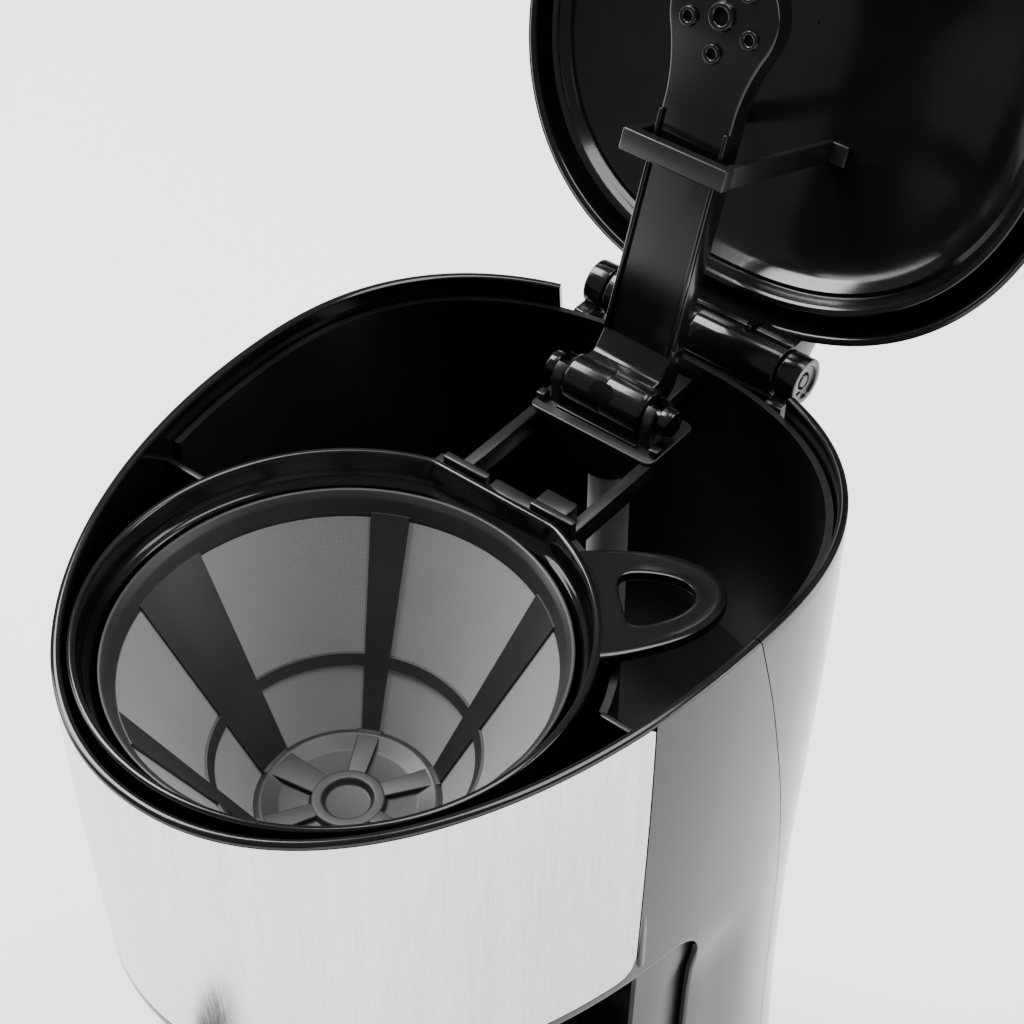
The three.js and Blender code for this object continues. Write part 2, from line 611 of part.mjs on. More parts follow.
function filterFrame() {
  const z = FILTER_Z;
  const bottomZ = z - FILTER_DEPTH;
  const rim = turned([[51.6, z - 6], [53.2, z - 6], [FILTER_RADIUS, z - 0.4], [FILTER_RADIUS, z], [52.6, z],
    [51, z - 5], [51.6, z - 6]], 32);
  const outside = turned([[0, bottomZ], [22.4, bottomZ], [52.4, z - 5], [0, z - 5]], 32);
  const inside = turned([[0, bottomZ + 1.6], [21.2, bottomZ + 1.6], [50.8, z - 4.5], [0, z - 4.5]], 32);
  const ribs = RIB_ANGLES.map((degrees, i) => {
    const half = i === 0 ? 10 : 5;
    const wedge = shapeOf([[0, -3.2], [60, -half], [60, half], [0, 3.2]]);
    return slab(wedge, bottomZ - 5, z + 5, 1, THREE.MathUtils.degToRad(degrees));
  });
  const disc = post(20, bottomZ - 5, bottomZ + 8, 0, 0, 24);
  const band = post(80, z - 38, z - 35.5, 0, 0, 8);
  return union(rim, outside.subtract(inside).intersect(union(disc, band, ...ribs)));
}

function filterMesh() {
  const [top, bottom] = [FILTER_Z - 7, FILTER_Z - FILTER_DEPTH + 0.4];
  return turned([[23.1, bottom], [23.5, bottom], [52.5, top], [52.1, top], [23.1, bottom]], 32);
}

function dripValve() {
  const nose = [[0, 176.4], [2.4, 176.4], [3.4, 178], [3.4, 190]];
  const stem = [[1.6, 190.4], [1.6, 200.4]];
  const cap = [[7.6, 202], [7.6, 203.4], [0, 204.8]];
  return turned([...nose, ...stem, ...cap], 16);
}

function valveSpring() {
  const path = [];
  for (let i = 0; i <= 40; i++) {
    const angle = (i / 40) * 4 * 2 * Math.PI;
    path.push([2.9 * Math.cos(angle), 2.9 * Math.sin(angle), 191 + (i / 40) * 5.8]);
  }
  return hose(path, 0.28, 40, 2);
}

// ---------------------------------------------------------------- base
function warmingPlate() {
  const r = PLATE_RADIUS;
  const under = [[0, 37], [r - 3, 37], [r - 3, 39], [r, 39]];
  const top = [[r, 40.4], [r - 2, 40.9], [r - 5, 40], [0, 40]];
  return turned([...under, ...top], 28);
}

function plateGasket() {
  const r = PLATE_RADIUS;
  return turned([[r - 2.6, 36.2], [r + 1.8, 36.2], [r + 1.8, 38.6], [r - 2.6, 38.6], [r - 2.6, 36.2]], 28);
}

const HEATER_ENDS = [[-18.4, 50, 29.5], [18.4, 50, 29.5]];

function heater() {
  const points = [];
  for (let i = 0; i <= 12; i++) {
    const angle = THREE.MathUtils.degToRad(-230 + (280 * i) / 12);
    points.push([38 * Math.cos(angle), 38 * Math.sin(angle), 29.5]);
  }
  const [start, end] = HEATER_ENDS;
  return hose([start, ...points, end], 5.4, 32, 4);
}

/** Silicone hoses: water down from the tank to the heater, and hot water on to the riser. */
const HOSE_RADIUS = 3.8;
const INLET_ROUTE = [[-18.4, 52.6, 29.5], [-22, 67, 26], [-29, 80, 19], [-30, 91, 20], [-30, 92, 29.4]];
const OUTLET_ROUTE = [[18.4, 52.6, 29.5], [15, 73, 26], [7, 92, 19], [0.6, 102, 22], [0, PIVOT.y, 40]];
const inletHose = () => hose(INLET_ROUTE, HOSE_RADIUS, 14, 4);
const outletHose = () => hose(OUTLET_ROUTE, HOSE_RADIUS, 14, 4);
const VALVE_PROFILE = [[2.4, 29.8], [4, 29.8], [6.2, 31.6], [6.2, 37], [5, 40], [2.4, 40], [2.4, 29.8]];
const checkValve = () => turned(VALVE_PROFILE, 16, -30, 92);

// ---------------------------------------------------------------- carafe
function carafeGlass() {
  const [r, z] = [CARAFE_RADIUS, CARAFE_BASE_Z];
  return turned([[0, z], [48, z], [56, z + 6], [r, z + 34], [r - 2, z + 66], [50, z + 98], [44, z + 110],
    [46, z + 119], [44, z + 119], [42, z + 110], [48, z + 97], [r - 4.2, z + 65], [r - 2.2, z + 34],
    [54.4, z + 7.6], [47.4, z + 2.2], [0, z + 2.2]], 28);
}

function carafeBand() {
  const z = CARAFE_BASE_Z;
  return turned([[50.6, z + 98.8], [51.8, z + 98.8], [46.3, z + 110], [47.4, z + 116], [46.5, z + 116],
    [45.2, z + 110], [50.6, z + 98.8]], 28);
}

function carafeHandle() {
  const z = CARAFE_BASE_Z;
  const shape = new THREE.Shape();
  shape.moveTo(-48, z + 110);
  shape.lineTo(-48.4, z + 118.6);
  shape.lineTo(-84, z + 118.6);
  shape.quadraticCurveTo(-100, z + 115, -99, z + 94);
  shape.lineTo(-96, z + 30);
  shape.quadraticCurveTo(-95, z + 22, -88, z + 22);
  shape.lineTo(-64, z + 27);
  shape.lineTo(-64, z + 35);
  shape.lineTo(-84, z + 33);
  shape.lineTo(-87, z + 92);
  shape.quadraticCurveTo(-88, z + 107, -76, z + 110);
  shape.closePath();
  return sideways(shape, -9, 9, 5);
}

function carafeLid() {
  const z = CARAFE_BASE_Z + 119.6;
  const under = [[9, z + 6], [14, z + 3.2], [40, z + 2], [46, z], [49.5, z]];
  const over = [[49.5, z + 2.2], [46, z + 7], [30, z + 10], [14, z + 8], [10, z + 8], [9, z + 6]];
  const cover = turned([...under, ...over], 28);
  const skirt = turned([[39.4, z - 8], [41, z - 8], [41, z + 3], [39.4, z + 3], [39.4, z - 8]], 28);
  const grip = box(-6, 6, -50, -34, z + 1, z + 9.5).intersect(post(51, z, z + 20, 0, 0, 28));
  return union(cover, skirt, grip);
}

// ---------------------------------------------------------------- assembly
piece("front_housing", frontHousing(), GLOSS_BLACK);
piece("rear_cover", rearCover(), GLOSS_BLACK);
piece("steel_front_panel", steelPanel(), STEEL);
piece("water_tank", tank(), SATIN_BLACK);
piece("bridge_frame", bridgeFrame(), SATIN_BLACK);
const RISER_PROFILE = [[3.6, 48.5], [5.5, 48.5], [5.5, 257.6], [3.6, 257.6], [3.6, 48.5]];
piece("riser_tube", turned(RISER_PROFILE, 16, 0, PIVOT.y), SILICONE);
piece("bottom_cover", bottomCover(), SATIN_BLACK);
SCREW_PLACES.forEach(([x, y], i) => {
  const screw = turned([[0, 3.2], [2.6, 3.2], [3.1, 4.6], [1.2, 4.8], [1.2, 18], [0, 19]], 12, x, y);
  piece("cover_screw_" + (i + 1), screw, BRIGHT_METAL);
});
[[-34, -30], [34, -30], [-55, 78], [55, 78]].forEach(([x, y], i) => {
  const foot = turned([[0, 0], [7, 0], [8.2, 1.2], [8.2, 4.65], [0, 4.65]], 16, x, y);
  piece("rubber_foot_" + (i + 1), foot, RUBBER);
});
piece("warming_plate", warmingPlate(), COATED_METAL);
piece("plate_gasket", plateGasket(), SILICONE);
piece("heating_tube", heater(), CAST_METAL);
const THERMOSTAT_PROFILE = [[0, 29], [8, 29], [8, 34.5], [11, 34.5], [11, 36.4], [0, 36.4]];
piece("thermostat", turned(THERMOSTAT_PROFILE, 20, 0, -8), BRIGHT_METAL);
piece("thermal_fuse", rod(3, -9, 9, 14, 33, 12), CAST_METAL);
piece("check_valve", checkValve(), SATIN_BLACK);
piece("inlet_hose", inletHose(), SILICONE);
piece("outlet_hose", outletHose(), SILICONE);
piece("power_switch", switchRocker(), SATIN_BLACK);
piece("switch_bezel", switchBezel(), SATIN_BLACK);
piece("cord_gland", cordGland(), RUBBER);

piece("basket_holder", basketHolder(), GLOSS_BLACK);
piece("filter_frame", filterFrame(), DARK_GREY);
piece("filter_mesh", filterMesh(), MESH_GREY);
piece("drip_valve", dripValve(), SATIN_BLACK);
piece("valve_spring", valveSpring(), BRIGHT_METAL);

piece("carafe_glass", carafeGlass(), GLASS);
piece("carafe_band", carafeBand(), BRIGHT_METAL);
piece("carafe_handle", carafeHandle(), GLOSS_BLACK);
piece("carafe_lid", carafeLid(), GLOSS_BLACK);

piece("spray_arm", sprayArm(), GLOSS_BLACK);
piece("lid", lid(), GLOSS_BLACK);
piece("lid_liner", lidLiner(), GLOSS_BLACK);
piece("lid_strap", lidStrap(), GLOSS_BLACK);
piece("hinge_pin", rod(2, -33, 33, HINGE.y, HINGE.z, 14), BRIGHT_METAL);

// The lid and the spray arm stand open: each is turned back about its own axis.
function standOpen(names, axis) {
  const hinge = new THREE.Group();
  hinge.position.set(0, axis.y, axis.z);
  hinge.rotation.x = -OPEN_ANGLE;
  for (const name of names) {
    const mesh = pieces.get(name);
    mesh.position.set(0, -axis.y, -axis.z);
    hinge.add(mesh);
  }
  return hinge;
}

const LID_PIECES = ["lid", "lid_liner", "lid_strap"];
const ARM_PIECES = ["spray_arm"];
const coffeeMaker = new THREE.Group();
for (const [name, mesh] of pieces) {
  if (![...LID_PIECES, ...ARM_PIECES].includes(name)) coffeeMaker.add(mesh);
}
coffeeMaker.add(standOpen(LID_PIECES, HINGE), standOpen(ARM_PIECES, PIVOT));
const whole = new THREE.Box3().setFromObject(coffeeMaker, true);
coffeeMaker.position.y = -(whole.min.y + whole.max.y) / 2;

export default coffeeMaker;
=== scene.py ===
"""Drip coffee maker with its lid up: the looks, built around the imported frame.

Shapes are worked out in millimetres from the brew basket's axis (x and y) and the standing surface (z),
with +Z up and the front at -Y. place() moves them into the frame, in metres.
"""

import json
import math

import bmesh
import bpy
from mathutils import Matrix, Vector


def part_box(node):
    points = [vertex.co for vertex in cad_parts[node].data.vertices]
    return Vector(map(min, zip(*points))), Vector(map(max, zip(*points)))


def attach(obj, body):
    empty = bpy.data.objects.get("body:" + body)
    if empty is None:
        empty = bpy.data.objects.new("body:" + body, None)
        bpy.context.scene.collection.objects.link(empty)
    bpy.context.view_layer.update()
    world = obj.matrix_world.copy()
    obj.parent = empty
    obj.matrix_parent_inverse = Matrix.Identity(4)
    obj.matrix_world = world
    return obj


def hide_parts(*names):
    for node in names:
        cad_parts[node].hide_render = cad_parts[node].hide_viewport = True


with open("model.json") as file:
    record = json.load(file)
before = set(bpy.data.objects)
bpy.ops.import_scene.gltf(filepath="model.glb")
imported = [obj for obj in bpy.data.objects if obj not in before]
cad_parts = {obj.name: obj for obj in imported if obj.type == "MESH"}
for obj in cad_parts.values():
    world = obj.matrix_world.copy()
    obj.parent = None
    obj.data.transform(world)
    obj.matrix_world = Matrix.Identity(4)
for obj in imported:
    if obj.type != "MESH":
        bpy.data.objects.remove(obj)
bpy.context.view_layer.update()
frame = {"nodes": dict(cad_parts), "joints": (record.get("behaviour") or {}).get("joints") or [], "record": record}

MM = 0.001
TAU = 2 * math.pi


def joint_place(name):
    """Y and Z of a hinge along X, in millimetres."""
    joint = next(j for j in frame["joints"] if j["name"] == name)
    return joint["pos_m"][1] / MM - AXIS_Y, joint["pos_m"][2] / MM


# ---------------------------------------------------------------- what the frame gives
FILTER_LOW, FILTER_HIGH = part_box("filter_frame")
AXIS_Y = (FILTER_LOW.y + FILTER_HIGH.y) / 2 / MM
FILTER_Z = FILTER_HIGH.z / MM
HALF_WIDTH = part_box("lid")[1].x / MM
RIM_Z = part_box("front_housing")[1].z / MM
HOLDER_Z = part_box("basket_holder")[1].z / MM
CARAFE_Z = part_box("carafe_glass")[0].z / MM
HINGE_Y, HINGE_Z = joint_place("lid_hinge")
PIVOT_Y, PIVOT_Z = joint_place("arm_pivot")
OPEN_ANGLE = math.radians(110)

# ---------------------------------------------------------------- the body's outline
WIDEST_Y = 59.2
FRONT_REACH = 124.2
REAR_REACH = 76.4
FRONT_POWER = 2.08
REAR_POWER = 2.36
WAIST_Z = 114
WAIST_SPAN = 162
WAIST_SHARE = 0.05
DRAFT_CENTRE_Y = 37.6
CROWN_Y = 50
CROWN_RADIUS = 1064
WALL = 2.4
GAP = 0.35
BASE_TOP_Z = 38.4
HEAD_FLOOR_Z = 181
BAY_EDGE_Y = 43
BAY_CORNER = 12
BAY_WALL_RADIUS = 120
BAY_WALL_Y = -50
PANEL_EDGE_Y = 18.3
PANEL_BOTTOM_Z = 184.4
PANEL_THICKNESS = 0.8
PANEL_TOP_DROP = 1.5
PANEL_CORNER = 6
RECESS = PANEL_THICKNESS + GAP
HAIR = 0.04  # between the two lines of points on either side of a step
RIM_ROUND = 0.9
SHELL_FOOT_Z = 4
NOTCH_HALF = 37
TANK_FLOOR_Z = 186
SEAM = ((276, 52.4), (249, 60.7), (230, 66), (202, 74), (175, 80.6), (152, 84.5), (120, 87), (0, 88))

# ---------------------------------------------------------------- basket, filter, arm and lid
HOLDER_RADIUS = 60.5
HANDLE_ANGLE = math.radians(46)
WELL_RADIUS = 63
SEAT_LOW_Z = 257
SEAT_TOP_Z = 260.6
FILTER_DEPTH = 56
FILTER_FOOT_Z = FILTER_Z - FILTER_DEPTH
CONE_LOW_RADIUS = 22.4
CONE_TOP_RADIUS = 52.4
CONE_TOP_DROP = 5
ARM_LENGTH = 98
ARM_THICKNESS = 7.0
ARM_UNDER_Z = PIVOT_Z + 5.2
ARM_TIP_Y = PIVOT_Y - ARM_LENGTH
SPRAY_HOLES = 5
SPRAY_CIRCLE = 9.2
LID_RISE = 14.5
LID_WALL = 2
LINER_INSET = 7.0
LINER_TOP = LID_RISE - LID_WALL - GAP
LINER_THICKNESS = 1.5
KNUCKLE_HALF = 26.8
AROUND = [TAU * i / 180 for i in range(180)]

# degrees at which each rib of the filter starts and ends
RIBS = ((173, 198), (112, 123), (52, 65), (-6, 6), (-66, -54), (-124, -112))

# half of the handle's outer edge and of its hole, from the tip to the ring: past the ring, and sideways
HANDLE_EDGE = ((29.4, 0), (28.4, 4.6), (25.4, 8.8), (20.5, 12.4), (14, 15), (6, 16.8), (-1, 17.6),
               (-4.4, 17), (-3.4, 13), (-2.2, 7), (-1.8, 0))
HANDLE_HOLE = ((22.1, 0), (21, 3.2), (18, 5.8), (13.6, 7.6), (9.4, 8.4), (6.8, 8), (5.6, 6.8), (5.2, 5.2),
               (5, 3.6), (4.9, 1.8), (4.9, 0))

FLOOR_GLOW = 1.05  # a lit sweep: it keeps the background light without strong lamps


def waist_scale(z):
    return 1 - WAIST_SHARE / 2 * (1 + math.cos(math.pi * (z - WAIST_Z) / WAIST_SPAN))


def outline(angle, inset, z):
    """The body's outline at an angle, moved in by inset and drawn in at the waist's height."""
    cos, sin = math.cos(angle), math.sin(angle)
    power = 2 / (REAR_POWER if sin > 0 else FRONT_POWER)
    reach = (REAR_REACH if sin > 0 else FRONT_REACH) - inset
    x = (HALF_WIDTH - inset) * math.copysign(abs(cos) ** power, cos)
    y = WIDEST_Y + reach * math.copysign(abs(sin) ** power, sin)
    scale = waist_scale(min(z, RIM_Z))
    return x * scale, DRAFT_CENTRE_Y + (y - DRAFT_CENTRE_Y) * scale


def angle_at(y):
    """The outline's angle on the right-hand side where it reaches y at the rim."""
    ahead = y < WIDEST_Y
    reach, power = (FRONT_REACH, FRONT_POWER) if ahead else (REAR_REACH, REAR_POWER)
    share = min(1, abs(y - WIDEST_Y) / reach) ** (power / 2)
    return math.copysign(math.asin(share), y - WIDEST_Y)


def crown_drop(y):
    return (y - CROWN_Y) ** 2 / (2 * CROWN_RADIUS)


def crown_z(y):
    return RIM_Z - crown_drop(y)


def between(low, high, value):
    """0 below low, 1 above high, and a smooth rise between them."""
    t = min(1, max(0, (value - low) / (high - low)))
    return t * t * (3 - 2 * t)


def steps(start, end, count):
    return [start + (end - start) * i / count for i in range(count + 1)]


def seam_y(z):
    """Where the joint between the front housing and the rear cover lies at a height."""
    for (z_high, y_high), (z_low, y_low) in zip(SEAM, SEAM[1:]):
        if z >= z_low:
            return y_low + (y_high - y_low) * (z - z_low) / (z_high - z_low)
    return SEAM[-1][1]


# ---------------------------------------------------------------- making meshes
def place(point):
    x, y, z = point
    return Vector((x * MM, (y + AXIS_Y) * MM, z * MM))


def rounded(profile, radius, closed=False, steps_each=4):
    """A line of 2-D points with each corner turned into a small curve."""
    points = [Vector(p) for p in profile]
    count = len(points)
    result = []
    for i, corner in enumerate(points):
        if not closed and i in (0, count - 1):
            result.append(tuple(corner))
            continue
        before, after = points[i - 1], points[(i + 1) % count]
        reach = min(radius, (before - corner).length * 0.45, (after - corner).length * 0.45)
        start = corner + (before - corner).normalized() * reach
        end = corner + (after - corner).normalized() * reach
        for k in range(steps_each + 1):
            t = k / steps_each
            result.append(tuple(start * (1 - t) ** 2 + corner * 2 * t * (1 - t) + end * t * t))
    return result


def arc(radius, turns, x=0.0, y=0.0):
    return [(x + radius * math.cos(t), y + radius * math.sin(t)) for t in turns]


def circle(radius, count, x=0.0, y=0.0, start=0.0):
    return arc(radius, [start + TAU * i / count for i in range(count)], x, y)


class Form:
    """Points and faces in millimetres, gathered for one piece."""

    def __init__(self):
        self.points = []
        self.faces = []

    def add(self, points, faces):
        start = len(self.points)
        self.points += [tuple(p) for p in points]
        self.faces += [[start + i for i in face] for face in faces]
        return self

    def join(self, other):
        return self.add(other.points, other.faces)

    def grid(self, rows, wrap_rows=False, wrap_columns=False):
        """Quads between rows of points; a wrapped direction closes on itself."""
        width = len(rows[0])
        points = [p for row in rows for p in row]
        faces = []
        for i in range(len(rows) if wrap_rows else len(rows) - 1):
            for j in range(width if wrap_columns else width - 1):
                a, b = i * width, ((i + 1) % len(rows)) * width
                k = (j + 1) % width
                faces.append([a + j, a + k, b + k, b + j])
        return self.add(points, faces)

    def turned(self, profile, count=96, x=0.0, y=0.0, wrap=False):
        """A profile of (radius, height) points turned about a vertical axis."""
        rows = [[(px, py, z) for px, py in circle(r, count, x, y)] for r, z in profile]
        return self.grid(rows, wrap, True)

    def ring(self, profile, edge, count=96, x=0.0, y=0.0):
        """A closed profile, its corners rounded, turned about a vertical axis."""
        return self.turned(rounded(profile, edge, closed=True), count, x, y, wrap=True)

    def rod(self, profile, y, z, count=48):
        """A profile of (radius, x) points turned about a line along X."""
        rows = [[(x, y + u, z + v) for u, v in circle(r, count)] for r, x in profile]
        return self.grid(rows, False, True)

    def block(self, x0, x1, y0, y1, z0, z1, edge=0.35):
        """A box with softened edges."""
        work = bmesh.new()
        bmesh.ops.create_cube(work, size=1)
        middle = Vector(((x0 + x1) / 2, (y0 + y1) / 2, (z0 + z1) / 2))
        size = Matrix.Diagonal((x1 - x0, y1 - y0, z1 - z0, 1))
        bmesh.ops.transform(work, matrix=Matrix.Translation(middle) @ size, verts=work.verts)
        bmesh.ops.bevel(work, geom=work.edges[:], offset=edge, segments=3, profile=0.5, affect="EDGES")
        return self.take(work)

    def twin_blocks(self, near, far, *rest):
        """The same box on the left and on the right of the middle."""
        for side in (-1, 1):
            x0, x1 = sorted((side * near, side * far))
            self.block(x0, x1, *rest)
        return self

    def prism(self, shape, low, high, edge=0.35, along="z"):
        """A flat outline given thickness along one axis, its two faces' edges softened."""
        work = bmesh.new()
        order = {"z": lambda u, v, w: (u, v, w), "x": lambda u, v, w: (w, u, v)}[along]
        bottom = [work.verts.new(order(u, v, low)) for u, v in shape]
        top = [work.verts.new(order(u, v, high)) for u, v in shape]
        caps = [work.faces.new(bottom), work.faces.new(top)]
        count = len(shape)
        for i in range(count):
            k = (i + 1) % count
            work.faces.new((bottom[i], bottom[k], top[k], top[i]))
        bmesh.ops.recalc_face_normals(work, faces=work.faces)
        rims = list({e for cap in caps for e in cap.edges})
        bmesh.ops.bevel(work, geom=rims, offset=edge, segments=3, profile=0.5, affect="EDGES")
        return self.take(work)

    def take(self, work):
        work.verts.index_update()
        self.add([v.co.copy() for v in work.verts], [[v.index for v in f.verts] for f in work.faces])
        work.free()
        return self

    def tipped(self, y, z, angle):
        """Everything so far, turned about the line along X through (y, z)."""
        cos, sin = math.cos(angle), math.sin(angle)
        self.points = [(px, y + (py - y) * cos - (pz - z) * sin, z + (py - y) * sin + (pz - z) * cos)
                       for px, py, pz in self.points]
        return self

    def turned_about_axis(self, angle):
        cos, sin = math.cos(angle), math.sin(angle)
        self.points = [(x * cos - y * sin, x * sin + y * cos, z) for x, y, z in self.points]
        return self

    def skins(self, outer, inner, kept, caps=None, wrap=False):
        """A wall between two grids of points, outer[i][j] and inner[i][j]. Cells that aren't kept are
        openings. caps[i] rounds the wall's top edge at column i."""
        width, height = len(outer), len(outer[0])
        points = [p for line in outer for p in line] + [p for line in inner for p in line]
        size = width * height
        cap_start = len(points)
        rise = len(caps[0]) if caps else 0
        if caps:
            points += [p for line in caps for p in line]

        def out(i, j):
            return (i % width) * height + j

        def inn(i, j):
            return size + out(i, j)

        def cap(i, k):
            return cap_start + (i % width) * rise + k

        columns = width if wrap else width - 1

        def is_kept(i, j):
            if wrap:
                i %= columns
            return 0 <= i < columns and 0 <= j < height - 1 and kept(i, j)

        faces = []
        for i in range(columns):
            for j in range(height - 1):
                if not is_kept(i, j):
                    continue
                faces.append([out(i, j), out(i + 1, j), out(i + 1, j + 1), out(i, j + 1)])
                faces.append([inn(i, j + 1), inn(i + 1, j + 1), inn(i + 1, j), inn(i, j)])
                if not is_kept(i, j - 1):
                    faces.append([out(i, j), inn(i, j), inn(i + 1, j), out(i + 1, j)])
                top = j == height - 2
                if top and caps:
                    rim = [[out(i, j + 1), out(i + 1, j + 1)]]
                    rim += [[cap(i, k), cap(i + 1, k)] for k in range(rise)]
                    rim += [[inn(i, j + 1), inn(i + 1, j + 1)]]
                    faces += [[a, b, d, c] for (a, b), (c, d) in zip(rim, rim[1:])]
                elif not is_kept(i, j + 1):
                    faces.append([out(i, j + 1), out(i + 1, j + 1), inn(i + 1, j + 1), inn(i, j + 1)])
                for side, column in ((-1, i), (1, i + 1)):
                    if is_kept(i + side, j):
                        continue
                    end = [out(column, j), inn(column, j), inn(column, j + 1)]
                    if top and caps:
                        end += [cap(column, k) for k in reversed(range(rise))]
                    faces.append(end + [out(column, j + 1)])
        return self.add(points, faces)

    def wall(self, line, keys, outer, inner, kept=lambda i, j: True, caps=None, wrap=False):
        """A wall between two depths of the same lines of points, line(key, depth)."""
        both = [[line(key, depth) for key in keys] for depth in (outer, inner)]
        return self.skins(*both, kept, caps, wrap)

    def softened(self, chosen, width):
        """Rounds every sharp edge whose two ends are both chosen."""
        work = bmesh.new()
        points = [work.verts.new(p) for p in self.points]
        for face in self.faces:
            corners = list(dict.fromkeys(face))
            if len(corners) > 2:
                work.faces.new([points[i] for i in corners])
        bmesh.ops.remove_doubles(work, verts=work.verts, dist=1e-4)
        bmesh.ops.recalc_face_normals(work, faces=work.faces)
        sharp = [e for e in work.edges if len(e.link_faces) == 2 and e.calc_face_angle() > math.radians(50)
                 and all(chosen(*v.co) for v in e.verts)]
        bmesh.ops.bevel(work, geom=sharp, offset=width, segments=4, profile=0.5, affect="EDGES",
                        clamp_overlap=False)
        self.points, self.faces = [], []
        return self.take(work)

    def piece(self, name, material, body, slot, replaced=(), smooth=32):
        """The gathered faces as a Blender object that rides on a body."""
        mesh = bpy.data.meshes.new(name)
        mesh.from_pydata([place(p) for p in self.points], [], self.faces)
        work = bmesh.new()
        work.from_mesh(mesh)
        bmesh.ops.remove_doubles(work, verts=work.verts, dist=1e-6)
        bmesh.ops.dissolve_degenerate(work, edges=work.edges, dist=1e-7)
        loose = [v for v in work.verts if not v.link_faces]
        bmesh.ops.delete(work, geom=loose, context="VERTS")
        bmesh.ops.recalc_face_normals(work, faces=work.faces)
        work.to_mesh(mesh)
        work.free()
        mesh.shade_smooth()
        mesh.set_sharp_from_angle(angle=math.radians(smooth))
        mesh.materials.append(material)
        made = bpy.data.objects.new(name, mesh)
        bpy.context.scene.collection.objects.link(made)
        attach(made, body)
        if replaced:
            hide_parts(*replaced)
        return made


# ---------------------------------------------------------------- materials
class Shader:
    """A procedural material: one principled shader and what feeds it."""

    def __init__(self, name, color, roughness, metallic=0.0):
        self.material = bpy.data.materials.new(name)
        self.material.use_nodes = True
        self.nodes = self.material.node_tree.nodes
        self.links = self.material.node_tree.links
        self.surface = self.nodes["Principled BSDF"]
        self.place = self.nodes.new("ShaderNodeTexCoord")
        self.set("Base Color", (*color, 1))
        self.set("Roughness", roughness)
        self.set("Metallic", metallic)

    def set(self, socket, value):
        self.surface.inputs[socket].default_value = value

    def feed(self, socket, value):
        self.links.new(value, self.surface.inputs[socket])

    def noise(self, scale, detail=3.0, stretch=(1, 1, 1)):
        mapping = self.nodes.new("ShaderNodeMapping")
        mapping.inputs["Scale"].default_value = stretch
        self.links.new(self.place.outputs["Object"], mapping.inputs["Vector"])
        texture = self.nodes.new("ShaderNodeTexNoise")
        texture.inputs["Scale"].default_value = scale
        texture.inputs["Detail"].default_value = detail
        self.links.new(mapping.outputs["Vector"], texture.inputs["Vector"])
        return texture.outputs["Fac"]

    def spread(self, value, low, high, bottom=0.3, top=0.7):
        ramp = self.nodes.new("ShaderNodeMapRange")
        for socket, number in (("From Min", bottom), ("From Max", top), ("To Min", low), ("To Max", high)):
            ramp.inputs[socket].default_value = number
        self.links.new(value, ramp.inputs["Value"])
        return ramp.outputs["Result"]

    def tone(self, value, dark, light):
        ramp = self.nodes.new("ShaderNodeValToRGB")
        for element, color, position in zip(ramp.color_ramp.elements, (dark, light), (0.3, 0.7)):
            element.color = (*color, 1)
            element.position = position
        self.links.new(value, ramp.inputs["Fac"])
        self.feed("Base Color", ramp.outputs["Color"])

    def bump(self, value, strength, distance):
        node = self.nodes.new("ShaderNodeBump")
        node.inputs["Strength"].default_value = strength
        node.inputs["Distance"].default_value = distance
        self.links.new(value, node.inputs["Height"])
        self.feed("Normal", node.outputs["Normal"])

    def math(self, operation, *values):
        node = self.nodes.new("ShaderNodeMath")
        node.operation = operation
        for socket, value in zip(node.inputs, values):
            if isinstance(value, (int, float)):
                socket.default_value = value
            else:
                self.links.new(value, socket)
        return node.outputs[0]


def moulded(name, color, roughness, spread, grain, specular=0.5):
    """Injection-moulded plastic: faint mould texture, and patches that have been handled smooth."""
    shader = Shader(name, color, roughness)
    shader.set("Specular IOR Level", specular)
    shader.feed("Roughness", shader.spread(shader.noise(28, 4), roughness - spread, roughness + spread))
    shader.tone(shader.noise(55, 2), tuple(c * 0.8 for c in color), tuple(c * 1.25 for c in color))
    shader.bump(shader.noise(grain, 2), 0.12, 0.00004)
    return shader.material


def brushed():
    """Stainless sheet brushed upright, with the streaks in its gloss and its surface."""
    shader = Shader("brushed_steel", (0.72, 0.72, 0.73), 0.3, 1.0)
    streaks = shader.noise(2600, 2, (1, 1, 0.012))
    broad = shader.noise(240, 3, (1, 1, 0.03))
    mixed = shader.math("ADD", shader.math("MULTIPLY", streaks, 0.6), shader.math("MULTIPLY", broad, 0.4))
    shader.feed("Roughness", shader.spread(mixed, 0.2, 0.33))
    shader.tone(mixed, (0.6, 0.6, 0.61), (0.8, 0.8, 0.81))
    shader.set("Anisotropic", 0.5)
    shader.bump(mixed, 0.25, 0.00003)
    return shader.material


def weave():
    """Nylon filter cloth: two sets of fine threads in the cone's own directions, with open holes."""
    shader = Shader("filter_weave", (0.3, 0.3, 0.31), 0.55)
    split = shader.nodes.new("ShaderNodeSeparateXYZ")
    shader.links.new(shader.place.outputs["UV"], split.inputs["Vector"])
    pitch = 0.8
    threads = []
    for axis in ("X", "Y"):
        turns = shader.math("MULTIPLY", split.outputs[axis], TAU / pitch)
        threads.append(shader.math("ABSOLUTE", shader.math("SINE", turns)))
    height = shader.math("MAXIMUM", *threads)
    cloudy = shader.noise(60, 3)
    shade = shader.math("MULTIPLY", height, shader.spread(cloudy, 0.85, 1.1))
    shader.tone(shade, (0.03, 0.03, 0.03), (0.27, 0.27, 0.273))
    shader.feed("Alpha", shader.spread(height, 0.35, 1.0, 0.4, 0.8))
    shader.bump(height, 0.4, 0.0001)
    return shader.material


def glass():
    shader = Shader("carafe_glass_clear", (0.96, 0.98, 0.98), 0.02)
    shader.set("Transmission Weight", 1.0)
    shader.set("IOR", 1.5)
    shader.bump(shader.noise(18, 2), 0.05, 0.0002)
    return shader.material


